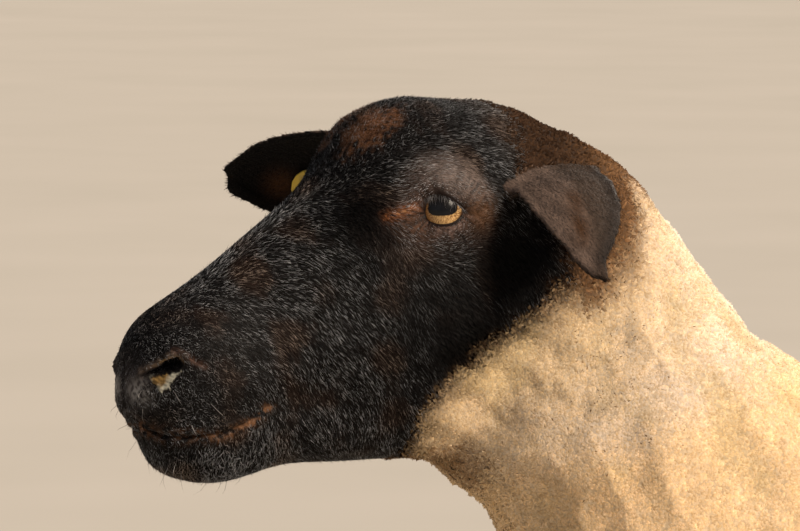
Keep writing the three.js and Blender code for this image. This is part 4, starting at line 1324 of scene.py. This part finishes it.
def face_hair(name, finish, amount, seed, thin, lift):
    root, facing, spot, chance = scatter(density * amount, seed)
    here = folded(in_head(root))
    eye_near = lengths(eye_places(here))
    count = len(root)
    long = 3.6 - 1.3 * ramp(here[:, 0], 110, 165) * ramp(here[:, 2], -75, -60) - 1.3 * ramp(eye_near, 34, 20)
    long = long * chance.uniform(0.6, 1.35, count) * (1 - 0.35 * ramp(eye_near, 25, 18))
    frizz = ramp(away_from(here, (0, 10, 52), (62, 34, 26)), 1.25, 0.7)
    lay = laid(hair_flow(root), facing, chance, 0.10 + 0.8 * frizz + 0.45 * ramp(here[:, 0], 120, 180))
    way, shared = lock_of(root, 1.5, seed)
    rise = lift + 0.14 * chance.random(count) + 0.7 * frizz * chance.random(count)
    rise += 0.5 * (chance.random(count) > 0.96) + 0.45 * ramp(eye_near, 25, 18) * chance.random(count)
    reach = unit(lay + facing * rise[:, None]) * (long * (1 - 0.35 * frizz) * MM)[:, None]
    reach += along_skin(way, facing) * 0.2
    wide = thin * (0.44 - 0.12 * ramp(eye_near, 34, 20)) * chance.uniform(0.75, 1.3, count)
    colour = coat_colours(root, facing) * (0.2 + 1.7 * chance.random(count) ** 1.6)[:, None]
    if finish == guard_finish:
        # Painted sheen: pale colour on some glossy hairs in place of light gleaming on them, bluish grey as a
        # painted reflection of the sky and russet in the russet blotches.
        pale = chance.random(count) ** 3.8 * (0.8 + 1.1 * shared[:, 3])
        pale *= 1 - 0.55 * ramp(here[:, 2], 22, 42)
        pale *= (0.9 + 0.5 * ripple(here, 11, 61)) * sheen_by_place(here)
        glint = blend((0.50, 0.51, 0.54), (0.46, 0.36, 0.30), ramp(russet_places(here), 0.0, 1.0))
        colour = blend(colour, glint, np.clip(pale, 0, 1))
    tufts(name, finish, "black_hair", root - facing * 0.15 * MM, facing, reach, wide, colour, spot,
          shades=(0.5, 1.35), soft=0.6 if finish == hair_finish else 0.0)


face_hair("face_undercoat", hair_finish, amount=0.28, seed=101, thin=1.0, lift=0.06)
face_hair("face_hair", guard_finish, amount=1.12, seed=102, thin=0.48, lift=0.12)

# %% Lashes
hide_tree = BVHTree.FromPolygons(skin_points.tolist(), corners.tolist())


def on_hide_map(root):
    """The hide map place of the skin nearest each root."""
    near = [hide_tree.find_nearest(Vector(point))[2] for point in root]
    return hide_map[near].mean(1)

def lashes(name, count, sign, seed):
    chance = np.random.default_rng(seed)
    x = np.linspace(-0.88, 0.80, count) + chance.normal(size=count) * 0.012
    y = LID_TOP * (1 - np.abs(x - LID_SKEW_TOP * (1 - x * x)) ** LID_POWER) - LID_DROP
    x = x * LID_LONG + LID_MIDDLE
    place = np.stack([x, y, np.sqrt(EYE_RADIUS**2 - x * x - y * y)], 1) * (16.1 / EYE_RADIUS)
    way = np.stack([0.35 * x / LID_LONG, np.full(count, -0.62), np.full(count, 0.85)], 1)
    way += chance.normal(size=(count, 3)) * 0.2
    eye_axes = np.array([EYE_LONG, EYE_HIGH, GAZE])
    mirror = np.array((1, sign, 1))
    root = from_head((place @ eye_axes + (0, EYE_OUT, 0)) * mirror)
    way, out = (unit(part) @ eye_axes * mirror @ head_axes for part in (way, place))
    reach = way * (chance.uniform(4.0, 9.0, count) * MM)[:, None]
    colour = blend((0.020, 0.015, 0.013), (0.34, 0.33, 0.34), chance.random(count) ** 2.6)
    tufts(name, guard_finish, "black_hair", root, out, reach, 0.17, colour, on_hide_map(root),
          bend=out * 0.7 * MM, shades=(0.7, 1.4))


lashes("lashes_left", 140, 1, 151)
lashes("lashes_right", 140, -1, 152)

# %% Whiskers
density = 0.0032 * ramp(head_face[:, 0], 130, 165) * ramp(head_face[:, 2], -14, -26) * (1 - face_bare)
root, facing, spot, chance = scatter(density, 161)
count = len(root)
way = laid(hair_flow(root), facing, chance, 0.3) * 0.8 + facing * chance.uniform(0.5, 1.1, count)[:, None]
reach = unit(way) * (chance.uniform(7, 15, count) * MM)[:, None]
colour = blend((0.012, 0.010, 0.010), (0.50, 0.48, 0.46), chance.random(count) ** 2)
tufts("whiskers", guard_finish, "black_hair", root, facing, reach, 0.24, colour, spot,
      bend=facing * 1.6 * MM, shades=(1.0, 1.3))


# %% Ear hair and leg hair
def short_hair(name, finish, slot_name, density, seed, lie,
               wander, dark, bright, rises, deep, long, wide, **look):
    """Hair of one length that lies along the skin, the way that `lie` gives for places on the head."""
    root, facing, spot, chance = scatter(density, seed)
    count = len(root)
    lay = laid(lie(in_head(root)), facing, chance, wander)
    colour = coat_colours(root, facing) * (dark + bright * chance.random(count))[:, None]
    rise = rises[0] + rises[1] * chance.random(count)
    reach = unit(lay + facing * rise[:, None]) * (long * chance.uniform(0.6, 1.3, count) * MM)[:, None]
    tufts(name, finish, slot_name, root - facing * deep * MM, facing, reach,
          wide * chance.uniform(0.7, 1.3, count), colour, spot, **look)


def out_along_ear(places):
    away = np.sign(places[:, 1])
    return np.stack([0 * away, away, -0.6 * (away > 0)], 1) @ head_axes


def down_the_leg(places):
    return np.tile(np.array((0.0, 0.12, -1.0)), (len(places), 1))


short_hair("ear_hair", velvet_finish, "ear_hair", np.where(face_ear > 0.5, 0.60, 0.0), 111, out_along_ear,
           wander=0.22, dark=0.35, bright=1.3, rises=(0.10, 0.16), deep=0.15, long=3.2, wide=0.42,
           shades=(0.7, 1.2), soft=0.35)
short_hair("leg_hair", hair_finish, "black_hair", np.where(face_leg > 0.3, 0.10, 0.0), 121, down_the_leg,
           wander=0.16, dark=0.7, bright=0.8, rises=(0.06, 0.10), deep=0.2, long=8.0, wide=1.0)

# %% Wool of the neck and the fleece
woolly = (face_behind > 1) & (face_leg < 0.7) & (face_ear < 0.5)
near_head = ramp(centres[:, 1], -0.10, -0.18) * (centres[:, 2] > 0.55)
DIRT = 0.20, 0.14, 0.08


def wool_tufts(name, density, seed, lock, long, wide, lean, specks):
    """Short wool that leans lock by lock; `specks` is the share of thin dirty tufts in the dark band."""
    root, facing, spot, chance = scatter(density, seed)
    count = len(root)
    way, shared = lock_of(root, lock, seed)
    lean_way = laid(shared[:, :3] - 0.5 + 0.12 * hair_flow(root), facing, chance, 0.25)
    wander = chance.normal(size=way.shape) * 0.10 * long * MM
    tall = long * chance.uniform(0.75, 1.15, count) * (0.8 + 0.4 * shared[:, 3])
    reach = facing * (tall * MM)[:, None] + along_skin(way, facing) * 0.3 + lean_way * lean * MM + wander
    tone = (0.82 + 0.30 * shared[:, 3]) * (0.90 + 0.20 * chance.random(count))
    strayed = root + chance.normal(size=root.shape) * 2.2 * MM
    colour = coat_colours(strayed, facing) * tone[:, None]
    colour *= 1 + ramp(colour[:, :1], 0.35, 0.08) * chance.uniform(-0.55, 0.75, (count, 1))
    here = in_head(root)
    band = hump(from_line(here[:, (0, 2)], SPECKED)[0], 24) * ramp(here[:, 1], 25, 45)
    dirty = chance.random(count) < specks * band * ramp(ripple(root / MM, 12, seed + 1), -0.6, 0.9)
    colour = np.where(dirty[:, None], colour * DIRT, colour)
    wide = np.where(dirty, 0.4, 1.0) * wide * chance.uniform(0.75, 1.3, count)
    # The roots are tinted yellow-brown: the wool's yolk colour with painted shade deep in the fleece.
    tufts(name, wool_finish, "fleece", root - facing * 0.5 * MM, facing, reach, wide, colour, spot,
          shades=(np.array((0.86, 0.76, 0.60)), 1.06), soft=0.75, thick=0.45, shadow=False)


wool_tufts("neck_wool", np.where(woolly, 0.52, 0) * near_head, seed=131, lock=3.6, long=1.9, wide=2.3,
           lean=1.5, specks=0.22)
wool_tufts("fleece", np.where(woolly, 0.070, 0) * (1 - near_head), seed=141, lock=9.0, long=5.6, wide=4.2,
           lean=5.6, specks=0.0)
